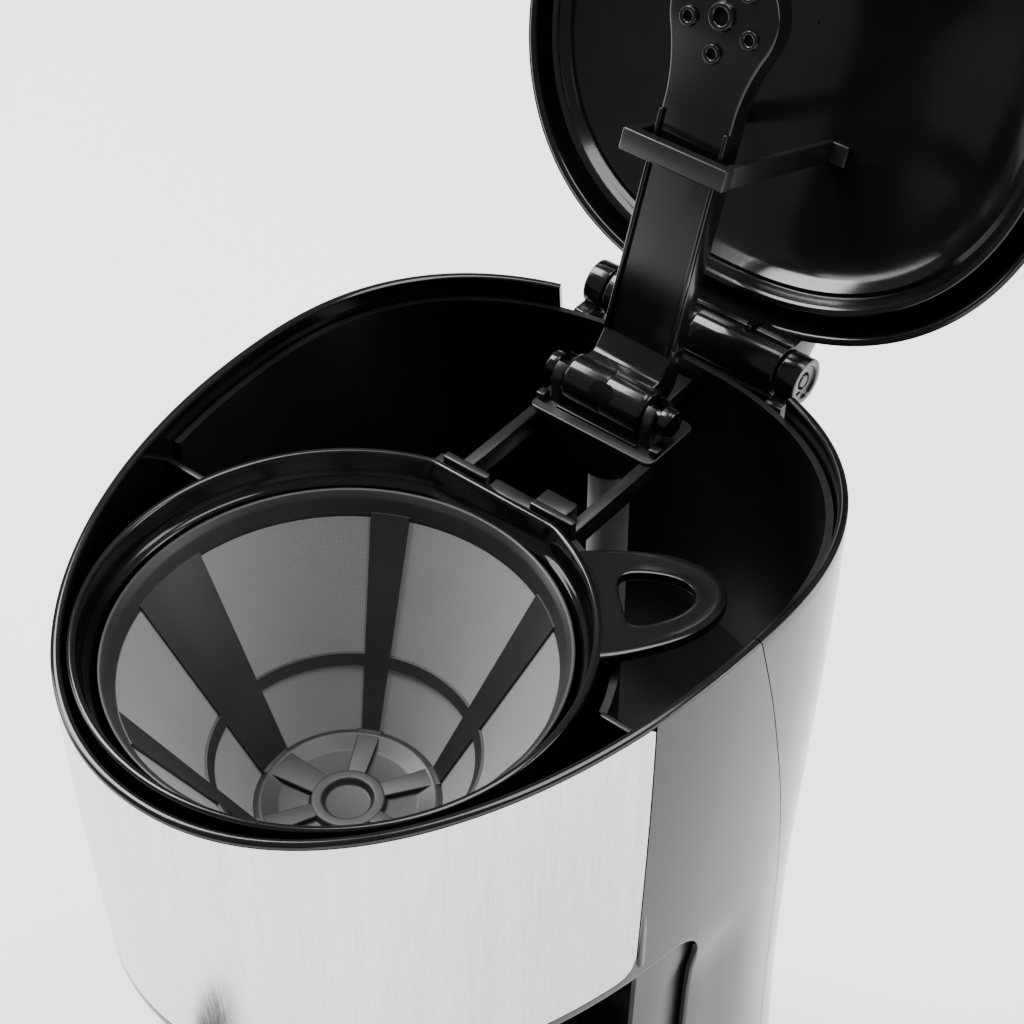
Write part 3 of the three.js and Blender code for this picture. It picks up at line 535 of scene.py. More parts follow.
def metal(name, color, roughness, grain=900):
    shader = Shader(name, color, roughness, 1.0)
    shader.feed("Roughness", shader.spread(shader.noise(160, 4), roughness * 0.75, roughness * 1.3))
    shader.tone(shader.noise(70, 3), tuple(c * 0.85 for c in color), color)
    shader.bump(shader.noise(grain, 3), 0.15, 0.00004)
    return shader.material


GLOSS = moulded("gloss_black", (0.0042, 0.0042, 0.0044), 0.14, 0.05, 700, 0.4)
# a darker copy of the satin black for the tub inside the body: its extra darkness is painted shade
INSIDE_BLACK_SHADED = moulded("inside_black_painted_shade", (0.0035, 0.0035, 0.0036), 0.34, 0.06, 1400)
SATIN = moulded("satin_black", (0.006, 0.006, 0.0062), 0.32, 0.08, 1600)
GREY = moulded("filter_grey", (0.015, 0.015, 0.0155), 0.45, 0.08, 1800)
RUBBER = moulded("black_rubber", (0.012, 0.012, 0.0125), 0.75, 0.1, 2400)
SILICONE = moulded("grey_silicone", (0.42, 0.42, 0.415), 0.45, 0.08, 900)
STEEL = brushed()
WEAVE = weave()
GLASS = glass()
CHROME = metal("polished_metal", (0.72, 0.72, 0.74), 0.14)
# near-black matte finish that paints the shade inside holes, which are not cut into the arm
HOLE_SHADE_PAINT = moulded("painted_hole_shade", (0.0015, 0.0015, 0.0015), 0.8, 0.05, 900, 0.08)
# the pin's metal is painted far darker than bright metal: painted shade of its recess in the hinge ear
PIN_STEEL_SHADED = metal("pin_steel_painted_shade", (0.07, 0.07, 0.072), 0.3)
CAST = metal("cast_metal", (0.5, 0.5, 0.51), 0.48, 1400)
COATED = moulded("plate_coating", (0.02, 0.02, 0.0205), 0.38, 0.08, 3000)

SLOT_MATERIALS = {
    "gloss_black": GLOSS, "satin_black": SATIN, "dark_grey": GREY, "brushed_panel": STEEL,
    "bright_metal": CHROME, "cast_metal": CAST, "coated_metal": COATED, "silicone": SILICONE,
    "black_rubber": RUBBER, "nylon_weave": WEAVE, "clear_glass": GLASS,
}
for subpart in frame["record"]["subparts"]:
    node = frame["nodes"][subpart["node"]]
    node.data.materials.clear()
    node.data.materials.append(SLOT_MATERIALS[subpart["material_slot"]])


# ---------------------------------------------------------------- body shells
def facet(y, z):
    """How far the column's front corner is shaved in below the head."""
    return 2.0 * between(31, 43, y) * (1 - between(44, 70, y)) * between(-174, -156, -z) * between(46, 66, z)


def wall_point(angle, inset, z):
    """A point of the wall: its height follows the crown of the rim more and more towards the top."""
    near_top = min(1, max(0, (z - PANEL_BOTTOM_Z) / (RIM_Z - PANEL_BOTTOM_Z)))
    x, y = outline(angle, inset, z)
    shaved = facet(y, z)
    if shaved:
        x, y = outline(angle, inset + shaved, z)
    return x, y, z - crown_drop(y) * near_top


def rim_cap(angle, inset, wall):
    """The rounded top edge of a wall, from outside to inside."""
    count = 8
    result = []
    for k in range(1, count):
        turn = math.pi * k / count
        across = inset + wall / 2 * (1 - math.cos(turn))
        x, y = outline(angle, across, RIM_Z)
        result.append((x, y, crown_z(y) - RIM_ROUND + RIM_ROUND * math.sin(turn) ** 0.7))
    return result


def corner_edge(y, flat_z, away):
    """Height of the bay's top (away = -1) or bottom (away = 1) edge at y, round its rear corner."""
    start = BAY_EDGE_Y - BAY_CORNER
    if y <= start:
        return flat_z
    reach = min(1, (y - start) / BAY_CORNER)
    return flat_z + away * BAY_CORNER * (1 - math.sqrt(1 - reach ** 2))


def corner_rise(reach, radius):
    """How far a corner of this radius has drawn in at a distance from the end."""
    return radius - math.sqrt(max(0, radius ** 2 - max(0, radius - reach) ** 2))


def front_shell():
    ys = [BAY_EDGE_Y - BAY_CORNER * (1 - math.cos(math.pi / 2 * k / 10)) for k in range(10)]
    ys += steps(BAY_EDGE_Y - BAY_CORNER, 19.6, 4)
    ys += [PANEL_EDGE_Y + GAP + HAIR, PANEL_EDGE_Y + GAP]
    right = [angle_at(y) for y in ys]
    right += steps(right[-1], -math.pi / 2, 60)[1:]
    side = 8
    columns = [("side", k) for k in range(side)]
    columns += [("angle", a) for a in right]
    columns += [("angle", -math.pi - a) for a in reversed(right[:-1])]
    columns += [("other", k) for k in reversed(range(side))]
    bottom_rows, bay_rows, neck_rows, head_rows = 3, 14, 2, 18

    def levels(y, recess_lift):
        base_top = corner_edge(y, BASE_TOP_Z, 1)
        head_low = corner_edge(y, HEAD_FLOOR_Z, -1)
        recess_low = PANEL_BOTTOM_Z - GAP + recess_lift
        recess_high = RIM_Z - PANEL_TOP_DROP + GAP
        rows = steps(SHELL_FOOT_Z, base_top, bottom_rows)
        rows += steps(base_top, head_low, bay_rows)[1:]
        rows += steps(head_low, recess_low, neck_rows)[1:]
        rows += [recess_low + HAIR]
        rows += steps(recess_low + HAIR, recess_high, head_rows)[1:]
        rows += [recess_high + HAIR, RIM_Z - RIM_ROUND]
        return rows

    recess_first = bottom_rows + bay_rows + neck_rows + 1
    recess_last = recess_first + head_rows
    panel_columns = [i for i, (kind, a) in enumerate(columns)
                     if kind == "angle" and outline(a, 0, RIM_Z)[1] <= PANEL_EDGE_Y + GAP + HAIR / 2]
    bay_columns = [i for i, (kind, a) in enumerate(columns) if kind == "angle"]
    ends = [Vector(outline(columns[i][1], 0, RIM_Z)) for i in (panel_columns[0], panel_columns[-1])]

    def corner_lift(i):
        if i not in panel_columns:
            return 0
        reach = min((Vector(outline(columns[i][1], 0, RIM_Z)) - end).length for end in ends)
        return corner_rise(reach, PANEL_CORNER)

    def angle_of(i, z):
        """The outline's angle at a column. The outermost ones follow the seam as it moves with height."""
        kind, value = columns[i]
        if kind == "angle":
            return value
        share = value / side
        angle = angle_at(seam_y(z) - GAP / 2) * (1 - share) + angle_at(BAY_EDGE_Y) * share
        return math.pi - angle if kind == "other" else angle

    def column_points(i, inset):
        kind, value = columns[i]
        rows = []
        y_here = outline(value, 0, RIM_Z)[1] if kind == "angle" else BAY_EDGE_Y
        for j, z in enumerate(levels(y_here, corner_lift(i))):
            sunk = RECESS if i in panel_columns and recess_first <= j <= recess_last else 0
            rows.append(wall_point(angle_of(i, z), inset or sunk, z))
        return rows

    caps = [rim_cap(angle_of(i, RIM_Z), 0, WALL) for i in range(len(columns))]

    def kept(i, j):
        in_bay = bay_columns[0] <= i < bay_columns[-1] and bottom_rows <= j < bottom_rows + bay_rows
        return not in_bay

    return Form().wall(column_points, range(len(columns)), 0, WALL, kept, caps)


def reach_of(direction, inset, z):
    """How far it is from the basket's axis to the outline, or to the wall behind the carafe."""
    dx, dy = math.cos(direction), math.sin(direction)
    low, high = 20.0, 160.0
    scale = waist_scale(z)
    for _ in range(40):
        middle = (low + high) / 2
        x, y = middle * dx / scale, DRAFT_CENTRE_Y + (middle * dy - DRAFT_CENTRE_Y) / scale
        ahead = y < WIDEST_Y
        reach, power = (FRONT_REACH, FRONT_POWER) if ahead else (REAR_REACH, REAR_POWER)
        across, along = abs(x) / (HALF_WIDTH - inset), abs(y - WIDEST_Y) / (reach - inset)
        inside = across ** power + along ** power < 1
        behind = math.hypot(middle * dx, middle * dy - BAY_WALL_Y) > BAY_WALL_RADIUS + 0.6
        low, high = (middle, high) if inside and not behind else (low, middle)
    return low


def deck(low, high, hole, edge):
    """A flat floor out to the wall, with a round hole on the basket's axis."""
    profile = rounded([(0, low), (1, low), (1, high), (0, high)], 0.4, closed=True)
    rows = []
    for share, z in profile:
        row = []
        for direction in AROUND:
            far = reach_of(direction, edge, (low + high) / 2)
            radius = hole + (far - hole) * share
            row.append((radius * math.cos(direction), radius * math.sin(direction), z))
        rows.append(row)
    return Form().grid(rows, True, True)


def bay_back():
    """The wall behind the carafe, rounded into the column at both ends."""
    rows = []
    heights = steps(BASE_TOP_Z - 1, HEAD_FLOOR_Z + 1, 24)
    for radius, ordered in ((BAY_WALL_RADIUS, heights), (BAY_WALL_RADIUS + WALL, heights[::-1])):
        for z in ordered:
            half = (HALF_WIDTH - 3.9) * waist_scale(z)
            across = steps(-half, half, 48)
            rows.append([(x, BAY_WALL_Y + math.sqrt(radius ** 2 - x * x), z) for x in across])
    return Form().grid(rows, True, False)


front = front_shell().softened(lambda x, y, z: 30 < z < 182 and y < BAY_EDGE_Y + 1, 0.8)
front.join(deck(HEAD_FLOOR_Z, HEAD_FLOOR_Z + 3, 16, 1))
front.join(deck(BASE_TOP_Z - WALL, BASE_TOP_Z, 58.2, 1))
front.join(bay_back())
front.piece("front_housing_shell", GLOSS, "housing", "gloss_black", ["front_housing"])


def rear_shell():
    full = steps(0, math.pi, 110)
    notch_angles = [a for a in full if abs(outline(a, 0, RIM_Z)[0]) < NOTCH_HALF and 0.3 < a < math.pi - 0.3]
    first, last = full.index(notch_angles[0]), full.index(notch_angles[-1])
    rows_below, rows_above = 26, 3

    def levels(y):
        notch = HINGE_Z - 7.5 + crown_drop(y)
        return steps(SHELL_FOOT_Z, notch, rows_below) + steps(notch, RIM_Z - RIM_ROUND, rows_above)[1:]

    def angle_for(i, z):
        low = angle_at(seam_y(z) + GAP / 2)
        a = full[i]
        return low + (math.pi - 2 * low) * a / math.pi

    def column_points(i, inset):
        y_here = outline(full[i], 0, RIM_Z)[1]
        return [wall_point(angle_for(i, z), inset, z) for z in levels(y_here)]

    caps = [rim_cap(angle_for(i, RIM_Z), 0, WALL) for i in range(len(full))]

    def kept(i, j):
        return not (first <= i < last and j >= rows_below)

    form = Form().wall(column_points, range(len(full)), 0, WALL, kept, caps)
    inner_x, outer_x = 27.6, 33.5
    ear = rounded([(2.3, inner_x), (6.4, inner_x), (6.4, outer_x), (4.6, outer_x), (4.2, outer_x - 0.8),
                   (2.3, outer_x - 0.8)], 0.5, closed=True)
    for side in (-1, 1):
        rows = [[(side * x, HINGE_Y + u, HINGE_Z + v) for u, v in circle(r, 48)] for r, x in ear]
        form.grid(rows, True, True)
    form.twin_blocks(28.0, 33.1, 130.0, HINGE_Y - 1, HINGE_Z - 13, HINGE_Z - 2.2, 0.7)
    # a ledge under the lid's barrel, which the CAD does not have, closes the view out through the notch
    return form.block(-KNUCKLE_HALF, KNUCKLE_HALF, 132.8, HINGE_Y - 0.5, HINGE_Z - 10.4, HINGE_Z - 8, 0.5)


rear_shell().piece("rear_cover_shell", GLOSS, "housing", "gloss_black", ["rear_cover"])


def steel_panel():
    """The sheet round the front, with rounded corners at its two ends."""
    edge_angle = angle_at(PANEL_EDGE_Y)
    right = steps(edge_angle, edge_angle - 0.14, 14) + steps(edge_angle - 0.14, -math.pi / 2, 60)[1:]
    angles = right + [-math.pi - a for a in reversed(right[:-1])]
    edge_point = Vector(outline(edge_angle, 0, RIM_Z))

    def bounds_at(angle):
        reach = min((Vector(outline(a, 0, RIM_Z)) - edge_point).length for a in (angle, -math.pi - angle))
        low, high = PANEL_BOTTOM_Z, RIM_Z - PANEL_TOP_DROP
        return low + corner_rise(reach, PANEL_CORNER), high - corner_rise(reach, 1.2)

    def column_points(angle, inset):
        low, high = bounds_at(angle)
        return [wall_point(angle, inset, z) for z in steps(low, high, 22)]

    return Form().wall(column_points, angles, 0.02, PANEL_THICKNESS)


steel_panel().piece("steel_front_sheet", STEEL, "housing", "brushed_panel", ["steel_front_panel"])


# ---------------------------------------------------------------- tank and brew head
def tank():
    """The tub behind and beside the basket: outer wall, the wall round the basket's well, and ribs."""
    inset, wall, drop = 3.0, 1.8, 6
    form = Form()
    low = angle_at(22)
    angles = steps(low, math.pi - low, 120)

    def column_points(a, depth):
        return [wall_point(a, depth, z) for z in steps(46, RIM_Z - drop, 20)]

    form.wall(column_points, angles, inset, inset + wall)
    well = [math.radians(a) for a in steps(19, 161, 80)]
    top = FILTER_Z + 2

    def well_points(direction, radius):
        notch = abs(radius * math.cos(direction)) < 21
        high = FILTER_Z - 7.6 if notch else top
        return [(radius * math.cos(direction), radius * math.sin(direction), z)
                for z in steps(TANK_FLOOR_Z, high, 6)]

    form.wall(well_points, well, WELL_RADIUS, WELL_RADIUS + wall)
    form.twin_blocks(60, 75.4, 19.6, 21.6, TANK_FLOOR_Z, top, 0.5)
    floor = [outline(a, inset, TANK_FLOOR_Z) for a in steps(low, math.pi - low, 60)]
    return form.prism(floor, TANK_FLOOR_Z - 1.4, TANK_FLOOR_Z + 0.2, 0.2)


# the tub wears the darker black, painted shade for lying inside the body
tank().piece("tank_tub", INSIDE_BLACK_SHADED, "housing", "satin_black", ["water_tank"])


def bridge():
    """Frame from the basket's seat back to the arm's pivot, with clips, ribs and the hot water outlet."""
    z = FILTER_Z
    form = Form()
    spread = steps(math.radians(61), math.radians(119), 24)
    form.prism(arc(62.4, spread) + arc(57.5, spread[::-1]), SEAT_LOW_Z, SEAT_TOP_Z, 0.3)
    form.block(-20, -6.5, 61.0, 63.4, SEAT_LOW_Z, z + 5.6, 0.5)
    form.block(-7, 7.6, 61.0, 63.4, SEAT_LOW_Z, z + 1.6, 0.4)
    form.block(7.2, 20, 61.0, 63.4, SEAT_LOW_Z, z + 5.6, 0.5)
    form.block(7.2, 16.5, 63.0, 68.4, z - 4.5, z + 5.2, 0.5)
    form.block(-7, 6, 62.4, 66.4, z - 1, z + 1.7, 0.4)
    form.block(-21.8, -18.8, 58.0, 63.2, z - 3, z + 4.6, 0.8)
    form.twin_blocks(15.8, 18.9, 61.5, 97, z - 6, z + 0.4, 0.5)
    plate = rounded([(-19.2, 93.6), (19.2, 93.6), (19.2, 113), (-19.2, 113)], 2.6, closed=True, steps_each=6)
    form.prism(plate, z - 0.7, z + 1.4, 0.35)
    form.block(-12.6, 12.6, 96.6, 97.4, z + 1.2, z + 2.2, 0.25)
    form.block(-17, 17, 94.6, 97, z - 9, z, 0.4)
    form.block(-7, 7, 111, 129.4, z - 7, z - 0.5, 0.6)
    form.ring([(5.9, z - 14), (8, z - 14), (8, z), (5.9, z)], 0.4, 48, 0, PIVOT_Y)
    cheek = [(98.2, z), (108.8, z), (108.8, PIVOT_Z + 0.5)]
    cheek += arc(5, steps(0.35, 1.1, 4), PIVOT_Y, PIVOT_Z)
    cheek += [(PIVOT_Y + 2.3, PIVOT_Z + 4), (PIVOT_Y + 2, PIVOT_Z + 1.6)]
    cheek += arc(2.75, steps(0.6, -math.pi - 0.6, 16), PIVOT_Y, PIVOT_Z)
    cheek += [(PIVOT_Y - 2, PIVOT_Z + 1.6), (PIVOT_Y - 2.3, PIVOT_Z + 4)]
    cheek += arc(5, steps(2.05, 2.8, 4), PIVOT_Y, PIVOT_Z)
    cheek += [(98.2, PIVOT_Z + 0.5)]
    for low, high in ((-15.5, -12.5), (12.5, 15.5)):
        form.prism(cheek, low, high, 0.3, "x")
    return form.twin_blocks(16.4, 19.0, 96.5, 99.4, z + 1, z + 3.4, 0.4)


bridge().piece("bridge_moulding", SATIN, "housing", "satin_black", ["bridge_frame"])

riser = Form().ring([(3.6, 48.5), (5.5, 48.5), (5.5, 257.6), (3.6, 257.6)], 0.3, 48, 0, PIVOT_Y)
riser.piece("riser_hose", SILICONE, "housing", "silicone", ["riser_tube"])


# ---------------------------------------------------------------- basket and filter
def holder():
    r, z = HOLDER_RADIUS, HOLDER_Z
    flat = r - 3
    profile = rounded([(6, 197.4), (44, 199), (56, 256), (56, 261.4), (r, 261.4), (r, z), (r - 1.9, z),
                       (r - 2.3, 266), (57.6, 264.2), (56.2, 263.4), (55.6, 261), (54.4, 257), (42, 201.4),
                       (6, 199.6)], 0.9, closed=True)
    rows = []
    for radius, height in profile:
        row = []
        for px, py in circle(radius, 180, start=0.01):
            limit = flat - (r - radius) if height > 257 else 200
            row.append((px, min(py, limit), height))
        rows.append(row)
    form = Form().grid(rows, True, True)
    form.ring([(4.2, 186), (8, 186), (10, 199), (2.2, 199), (2.2, 197.6), (4.2, 197.4)], 0.4, 48)
    form.block(-9, -7.6, flat - 2.2, flat - 0.6, 262, z - 2.6, 0.3)
    return form.join(basket_handle(r, z))


def smooth_loop(half, each=5):
    """A closed curve through half an outline and its mirror image."""
    knots = list(half) + [(u, -v) for u, v in reversed(half[1:-1])]
    count = len(knots)
    result = []
    for i in range(count):
        a, b, c, d = (Vector(knots[(i + k) % count]) for k in (-1, 0, 1, 2))
        for k in range(each):
            t = k / each
            result.append((2 * b + (c - a) * t + (2 * a - 5 * b + 4 * c - d) * t ** 2
                           + (3 * b - a - 3 * c + d) * t ** 3) / 2)
    return result


def basket_handle(r, z):
    """The lifting tab: one dished surface round a rounded hole, running into the ring."""
    section = [(0, 0.0), (0.015, 0.7), (0.05, 1.2), (0.12, 1.35), (0.3, 1.22), (0.55, 1.12), (0.8, 1.16),
               (0.92, 1.2), (0.975, 1.1), (1.0, 0.6), (1.0, -0.9), (0.96, -1.4), (0.06, -1.4), (0.0, -0.9)]
    rows = []
    for outer, inner in zip(smooth_loop(HANDLE_EDGE), smooth_loop(HANDLE_HOLE)):
        rows.append([(r + outer.x + (inner.x - outer.x) * share, outer.y + (inner.y - outer.y) * share,
                      z - 1.7 + height) for share, height in section])
    return Form().grid(rows, True, True).turned_about_axis(HANDLE_ANGLE)


holder().piece("basket_ring", GLOSS, "basket", "gloss_black", ["basket_holder"])

def cone_radius(z, offset=0.0):
    share = (z - FILTER_FOOT_Z) / (FILTER_DEPTH - CONE_TOP_DROP)
    return CONE_LOW_RADIUS + (CONE_TOP_RADIUS - CONE_LOW_RADIUS) * share + offset


def filter_frame():
    z, low = FILTER_Z, FILTER_FOOT_Z
    form = Form()
    rim = [(51.2, z - 7), (52.8, z - 7), (54.5, z - 0.6), (54.5, z), (53.7, z + 0.02), (52.4, z - 1.6),
           (50.9, z - 6)]
    form.ring(rim, 0.5, 144)
    edges = sorted({round(a % 360, 3) for rib in RIBS for a in rib})
    angles = []
    for a, b in zip(edges, edges[1:] + [edges[0] + 360]):
        count = max(2, round((b - a) / 3))
        angles += steps(a, b, count)[:-1]
    rows_below, rows_in_band = 6, 2
    levels = steps(low + 2.4, z - 38.6, rows_below) + steps(z - 38.6, z - 36, rows_in_band)[1:]
    levels += steps(z - 36, z - CONE_TOP_DROP, 10)[1:]

    def column_points(a, offset):
        return [arc(cone_radius(h, offset), [math.radians(a)])[0] + (h,) for h in levels]

    def kept(i, j):
        middle = (angles[i] + (angles[(i + 1) % len(angles)] - angles[i]) % 360 / 2) % 360
        on_rib = any((middle - a) % 360 < (b - a) for a, b in RIBS)
        return on_rib or rows_below <= j < rows_below + rows_in_band

    form.wall(column_points, angles, 0, -1.5, kept, wrap=True)
    hub = [(0, low), (CONE_LOW_RADIUS, low), (23.4, low + 2.4), (21.4, low + 3.4), (17, low + 1.8),
           (9.5, low + 1.8), (9, low + 3.4), (6.4, low + 3.4), (5.6, low + 1.6), (0, low + 1.6)]
    form.turned(rounded(hub, 0.5), 72)
    for a, b in RIBS:
        turn = math.radians((a + b) / 2)
        cos, sin = math.cos(turn), math.sin(turn)
        width = 3.2 if b - a > 20 else 2.2
        half = [(8, width), (19.5, width * 1.3), (23, width * 1.5)]
        blade = [(u, -v) for u, v in half] + half[::-1]
        rotated = [(u * cos - v * sin, u * sin + v * cos) for u, v in blade]
        form.prism(rotated, low + 1.5, low + 3.2, 0.4)
    return form


filter_frame().piece("filter_ribs", GREY, "filter", "dark_grey", ["filter_frame"])


def filter_cloth():
    """The woven cone, with its threads' directions as UV lengths in millimetres."""
    low, high = FILTER_FOOT_Z + 2.2, FILTER_Z - 6.4
    count, rise = 180, 24
    form = Form()
    rows = []
    for offset in (0.35, 0.05):
        levels = steps(low, high, rise) if offset > 0.2 else steps(high, low, rise)
        for h in levels:
            rows.append([(x, y, h) for x, y in circle(cone_radius(h, offset - 0.8), count)])
    form.grid(rows, True, True)
    made = form.piece("filter_cloth", WEAVE, "filter", "nylon_weave", ["filter_mesh"])
    lengths = made.data.uv_layers.new(name="threads")
    for polygon in made.data.polygons:
        corners = [made.data.vertices[made.data.loops[k].vertex_index].co for k in polygon.loop_indices]
        turns = [math.atan2(c.y / MM - AXIS_Y, c.x / MM) for c in corners]
        if max(turns) - min(turns) > math.pi:
            turns = [t + TAU if t < 0 else t for t in turns]
        for loop_index, corner, turn in zip(polygon.loop_indices, corners, turns):
            lengths.data[loop_index].uv = (turn * 38, corner.z / MM * 1.16)
    return made


filter_cloth()


# ---------------------------------------------------------------- spray arm
def arm_outline():
    """A straight neck that widens in a soft curve into the round spray head."""
    width, radius = 10.0, 15.0
    tip = ARM_TIP_Y
    start = (width, tip + radius * 1.6)
    side = (radius * math.sin(1.25), tip + radius * math.cos(1.25))
    control = (width, tip + radius * 0.95)
    line = [(width, PIVOT_Y - 13), start]
    for t in steps(0, 1, 8)[1:]:
        shares = ((1 - t) ** 2, 2 * t * (1 - t), t * t)
        ways = zip(start, control, side)
        line.append(tuple(sum(s * v for s, v in zip(shares, values)) for values in ways))
    line += [(radius * math.sin(t), tip + radius * math.cos(t)) for t in steps(1.25, TAU - 1.25, 40)[1:]]
    mirrored = [(-x, y) for x, y in reversed(line[:10])]
    return line + mirrored[1:]


def spray_centres():
    return arc(SPRAY_CIRCLE, [(k + 0.25) * TAU / SPRAY_HOLES for k in range(SPRAY_HOLES)], 0, ARM_TIP_Y)


def arm():
    under, top = ARM_UNDER_Z, ARM_UNDER_Z + ARM_THICKNESS
    form = Form()
    form.prism(arm_outline(), under, top, 0.7)
    form.twin_blocks(8.9, 10.0, ARM_TIP_Y + 26, PIVOT_Y - 13.5, under - 0.9, under + 1, 0.4)
    neck = [(PIVOT_Y - 5.9, PIVOT_Z - 0.5), (PIVOT_Y - 7.4, PIVOT_Z + 3.2), (PIVOT_Y - 13, under + 0.2),
            (PIVOT_Y - 15, under + 0.4), (PIVOT_Y - 15, top - 0.4), (PIVOT_Y - 4, top - 0.4),
            (PIVOT_Y + 3.4, PIVOT_Z + 6.4), (PIVOT_Y + 5.4, PIVOT_Z + 1.5)]
    form.prism(rounded(neck, 1.2, closed=True), -10.4, 10.4, 0.5, "x")
    barrel = [(0, 0), (6.2, 0), (6.2, 11.2), (5.6, 12.2), (3.4, 12.2), (2.5, 12.5), (2.5, 15.8), (3.9, 16.1),
              (3.9, 18.6), (3.3, 19.3), (0, 19.3)]
    for side in (-1, 1):
        form.rod(rounded([(r, side * x) for r, x in barrel], 0.35), PIVOT_Y, PIVOT_Z)
    ring = rounded([(1.15, under + 1.5), (1.15, under - 0.6), (1.5, under - 1.0), (2.3, under - 1.0),
                    (2.7, under + 0.4), (2.7, under + 1.5)], 0.25)
    for x, y in spray_centres():
        form.turned(ring, 32, x, y)
    middle = rounded([(1.9, under + 1.5), (1.9, under - 0.7), (2.3, under - 1.2), (3.3, under - 1.2),
                      (3.9, under + 0.4), (3.9, under + 1.5)], 0.3)
    form.turned(middle, 40, 0, ARM_TIP_Y)
    return form.tipped(PIVOT_Y, PIVOT_Z, -OPEN_ANGLE)


def arm_hole_shade_patches():
    """Dark discs and a patch in painted shade for the spray holes and the inlet in the barrel, sunk a little below
    the surface.
    """
    low, high = ARM_UNDER_Z - 0.35, ARM_UNDER_Z + 0.4
    form = Form()
    for x, y, radius in [(0, ARM_TIP_Y, 2.0)] + [(x, y, 1.25) for x, y in spray_centres()]:
        form.turned([(0, low), (radius, low), (radius, high), (0, high)], 24, x, y)
    rows = []
    for radius, order in ((6.27, 1), (6.1, -1)):
        for k in range(9)[::order]:
            x = -3.6 + 0.9 * k
            half = 0.42 * min(1, (3.7 - abs(x)) / 1.4)
            line = [-1.87 - half + half * n / 3 for n in range(7)]
            rows.append([(x, PIVOT_Y + radius * math.cos(t), PIVOT_Z + radius * math.sin(t)) for t in line])
    form.grid(rows, True, False)
    return form.tipped(PIVOT_Y, PIVOT_Z, -OPEN_ANGLE)


arm().piece("arm_moulding", GLOSS, "arm", "gloss_black", ["spray_arm"])
# dark patches painted as the shade inside the spray holes and the barrel's inlet
arm_hole_shade_patches().piece("arm_painted_hole_shade", HOLE_SHADE_PAINT, "arm", "gloss_black")


# ---------------------------------------------------------------- lid
def dome_point(angle, share, inset, rise):
    """A point of the lid: share runs from its middle (0) to its edge (1)."""
    px, py = outline(angle, inset, RIM_Z)
    x, y = px * share, WIDEST_Y + (py - WIDEST_Y) * share
    return x, y, crown_z(y) + GAP + rise * math.sqrt(max(0, 1 - share ** 5))


def dome_rows(shares, inset, rise):
    return [[dome_point(a, share, inset, rise) for a in AROUND] for share in shares]


def rim_rows(profile):
    """Lines round the lid, each at (inset, height over the body's rim)."""
    rows = []
    for inset, lift in profile:
        points = [outline(a, inset, RIM_Z) for a in AROUND]
        rows.append([(x, y, crown_z(y) + GAP + lift) for x, y in points])
    return rows


def lid_shell():
    """Dome outside, rounded edge, and dome inside."""
    shares = [0.004, 0.08, 0.2, 0.33, 0.46, 0.58, 0.68, 0.76, 0.83, 0.88, 0.92, 0.95, 0.97, 0.984, 0.993,
              0.998, 1.0]
    rows = dome_rows(shares, 0, LID_RISE)
    rows += rim_rows([(0.25, 0.1), (0.8, -0.15), (1.5, 0.1), (2.0, 0.6)])
    rows += dome_rows(shares[-2::-1], LID_WALL, LID_RISE - LID_WALL)
    return Form().grid(rows, True, True)


def knuckle():
    """The lid's barrel on the hinge, and the apron that joins it to the dome."""
    form = Form()
    for side in (-1, 1):
        end = side * KNUCKLE_HALF
        barrel = rounded([(0, 0.0), (6.8, 0.0), (6.8, end), (2.2, end), (2.2, end - side)], 0.4)
        form.rod(barrel, HINGE_Y, HINGE_Z, 64)
    apron = [(HINGE_Y - 6.6, HINGE_Z + 0.5), (HINGE_Y + 6.7, HINGE_Z - 0.5), (HINGE_Y + 6.4, HINGE_Z + 4),
             (HINGE_Y + 3, HINGE_Z + 10), (132, HINGE_Z + 15.6), (128, HINGE_Z + 14.6), (132.5, HINGE_Z + 6)]
    form.prism(rounded(apron, 1.4, closed=True), -KNUCKLE_HALF, KNUCKLE_HALF, 0.5, "x")
    for x in (-14, 14):
        form.block(x - 1.2, x + 1.2, HINGE_Y - 8.2, HINGE_Y - 5.4, HINGE_Z - 2, HINGE_Z + 7, 0.4)
    return form


lid_form = lid_shell().join(knuckle()).tipped(HINGE_Y, HINGE_Z, -OPEN_ANGLE)
lid_form.piece("lid_dome", GLOSS, "top_lid", "gloss_black", ["lid"])


def liner():
    """Inner plate of the lid: a raised bead near its edge, then a smooth shallow dome."""
    under = (0.985, 0.96, 0.93, 0.89, 0.84, 0.77, 0.68, 0.57, 0.44, 0.3, 0.15, 0.004)
    over = (0.004, 0.3, 0.57, 0.77, 0.89, 0.96, 0.99, 1.0)
    top = LINER_TOP - 0.1
    rows = rim_rows([(LINER_INSET, 1.6), (LINER_INSET, 0.4), (7.6, -0.2), (8.8, -0.2), (9.6, 0.5),
                     (10.2, 2.0), (11.2, 3.2)])
    rows += dome_rows(under, 11.4, top - LINER_THICKNESS) + dome_rows(over, LINER_INSET, top)
    return Form().grid(rows, True, True)


def strap():
    """The loop on the lid that the arm runs through: a bar, two posts and their feet."""
    y = HINGE_Y - 53
    front, back = y - 2.8, y + 2.8
    low, high = HINGE_Z - 37.5, HINGE_Z - 33.5
    top = crown_z(y) + LINER_TOP - 1.6
    form = Form()
    form.block(-15.2, 15.2, front, back, low, high, 0.45)
    form.twin_blocks(12.6, 14.6, front, back, high - 1, top, 0.4)
    return form.twin_blocks(12.6, 19.0, front, back, top - 1.6, top, 0.4)


liner_form = liner().tipped(HINGE_Y, HINGE_Z, -OPEN_ANGLE)
liner_form.piece("lid_inner_plate", GLOSS, "top_lid", "gloss_black", ["lid_liner"])
strap_form = strap().tipped(HINGE_Y, HINGE_Z, -OPEN_ANGLE)
strap_form.piece("arm_strap", SATIN, "top_lid", "gloss_black", ["lid_strap"])

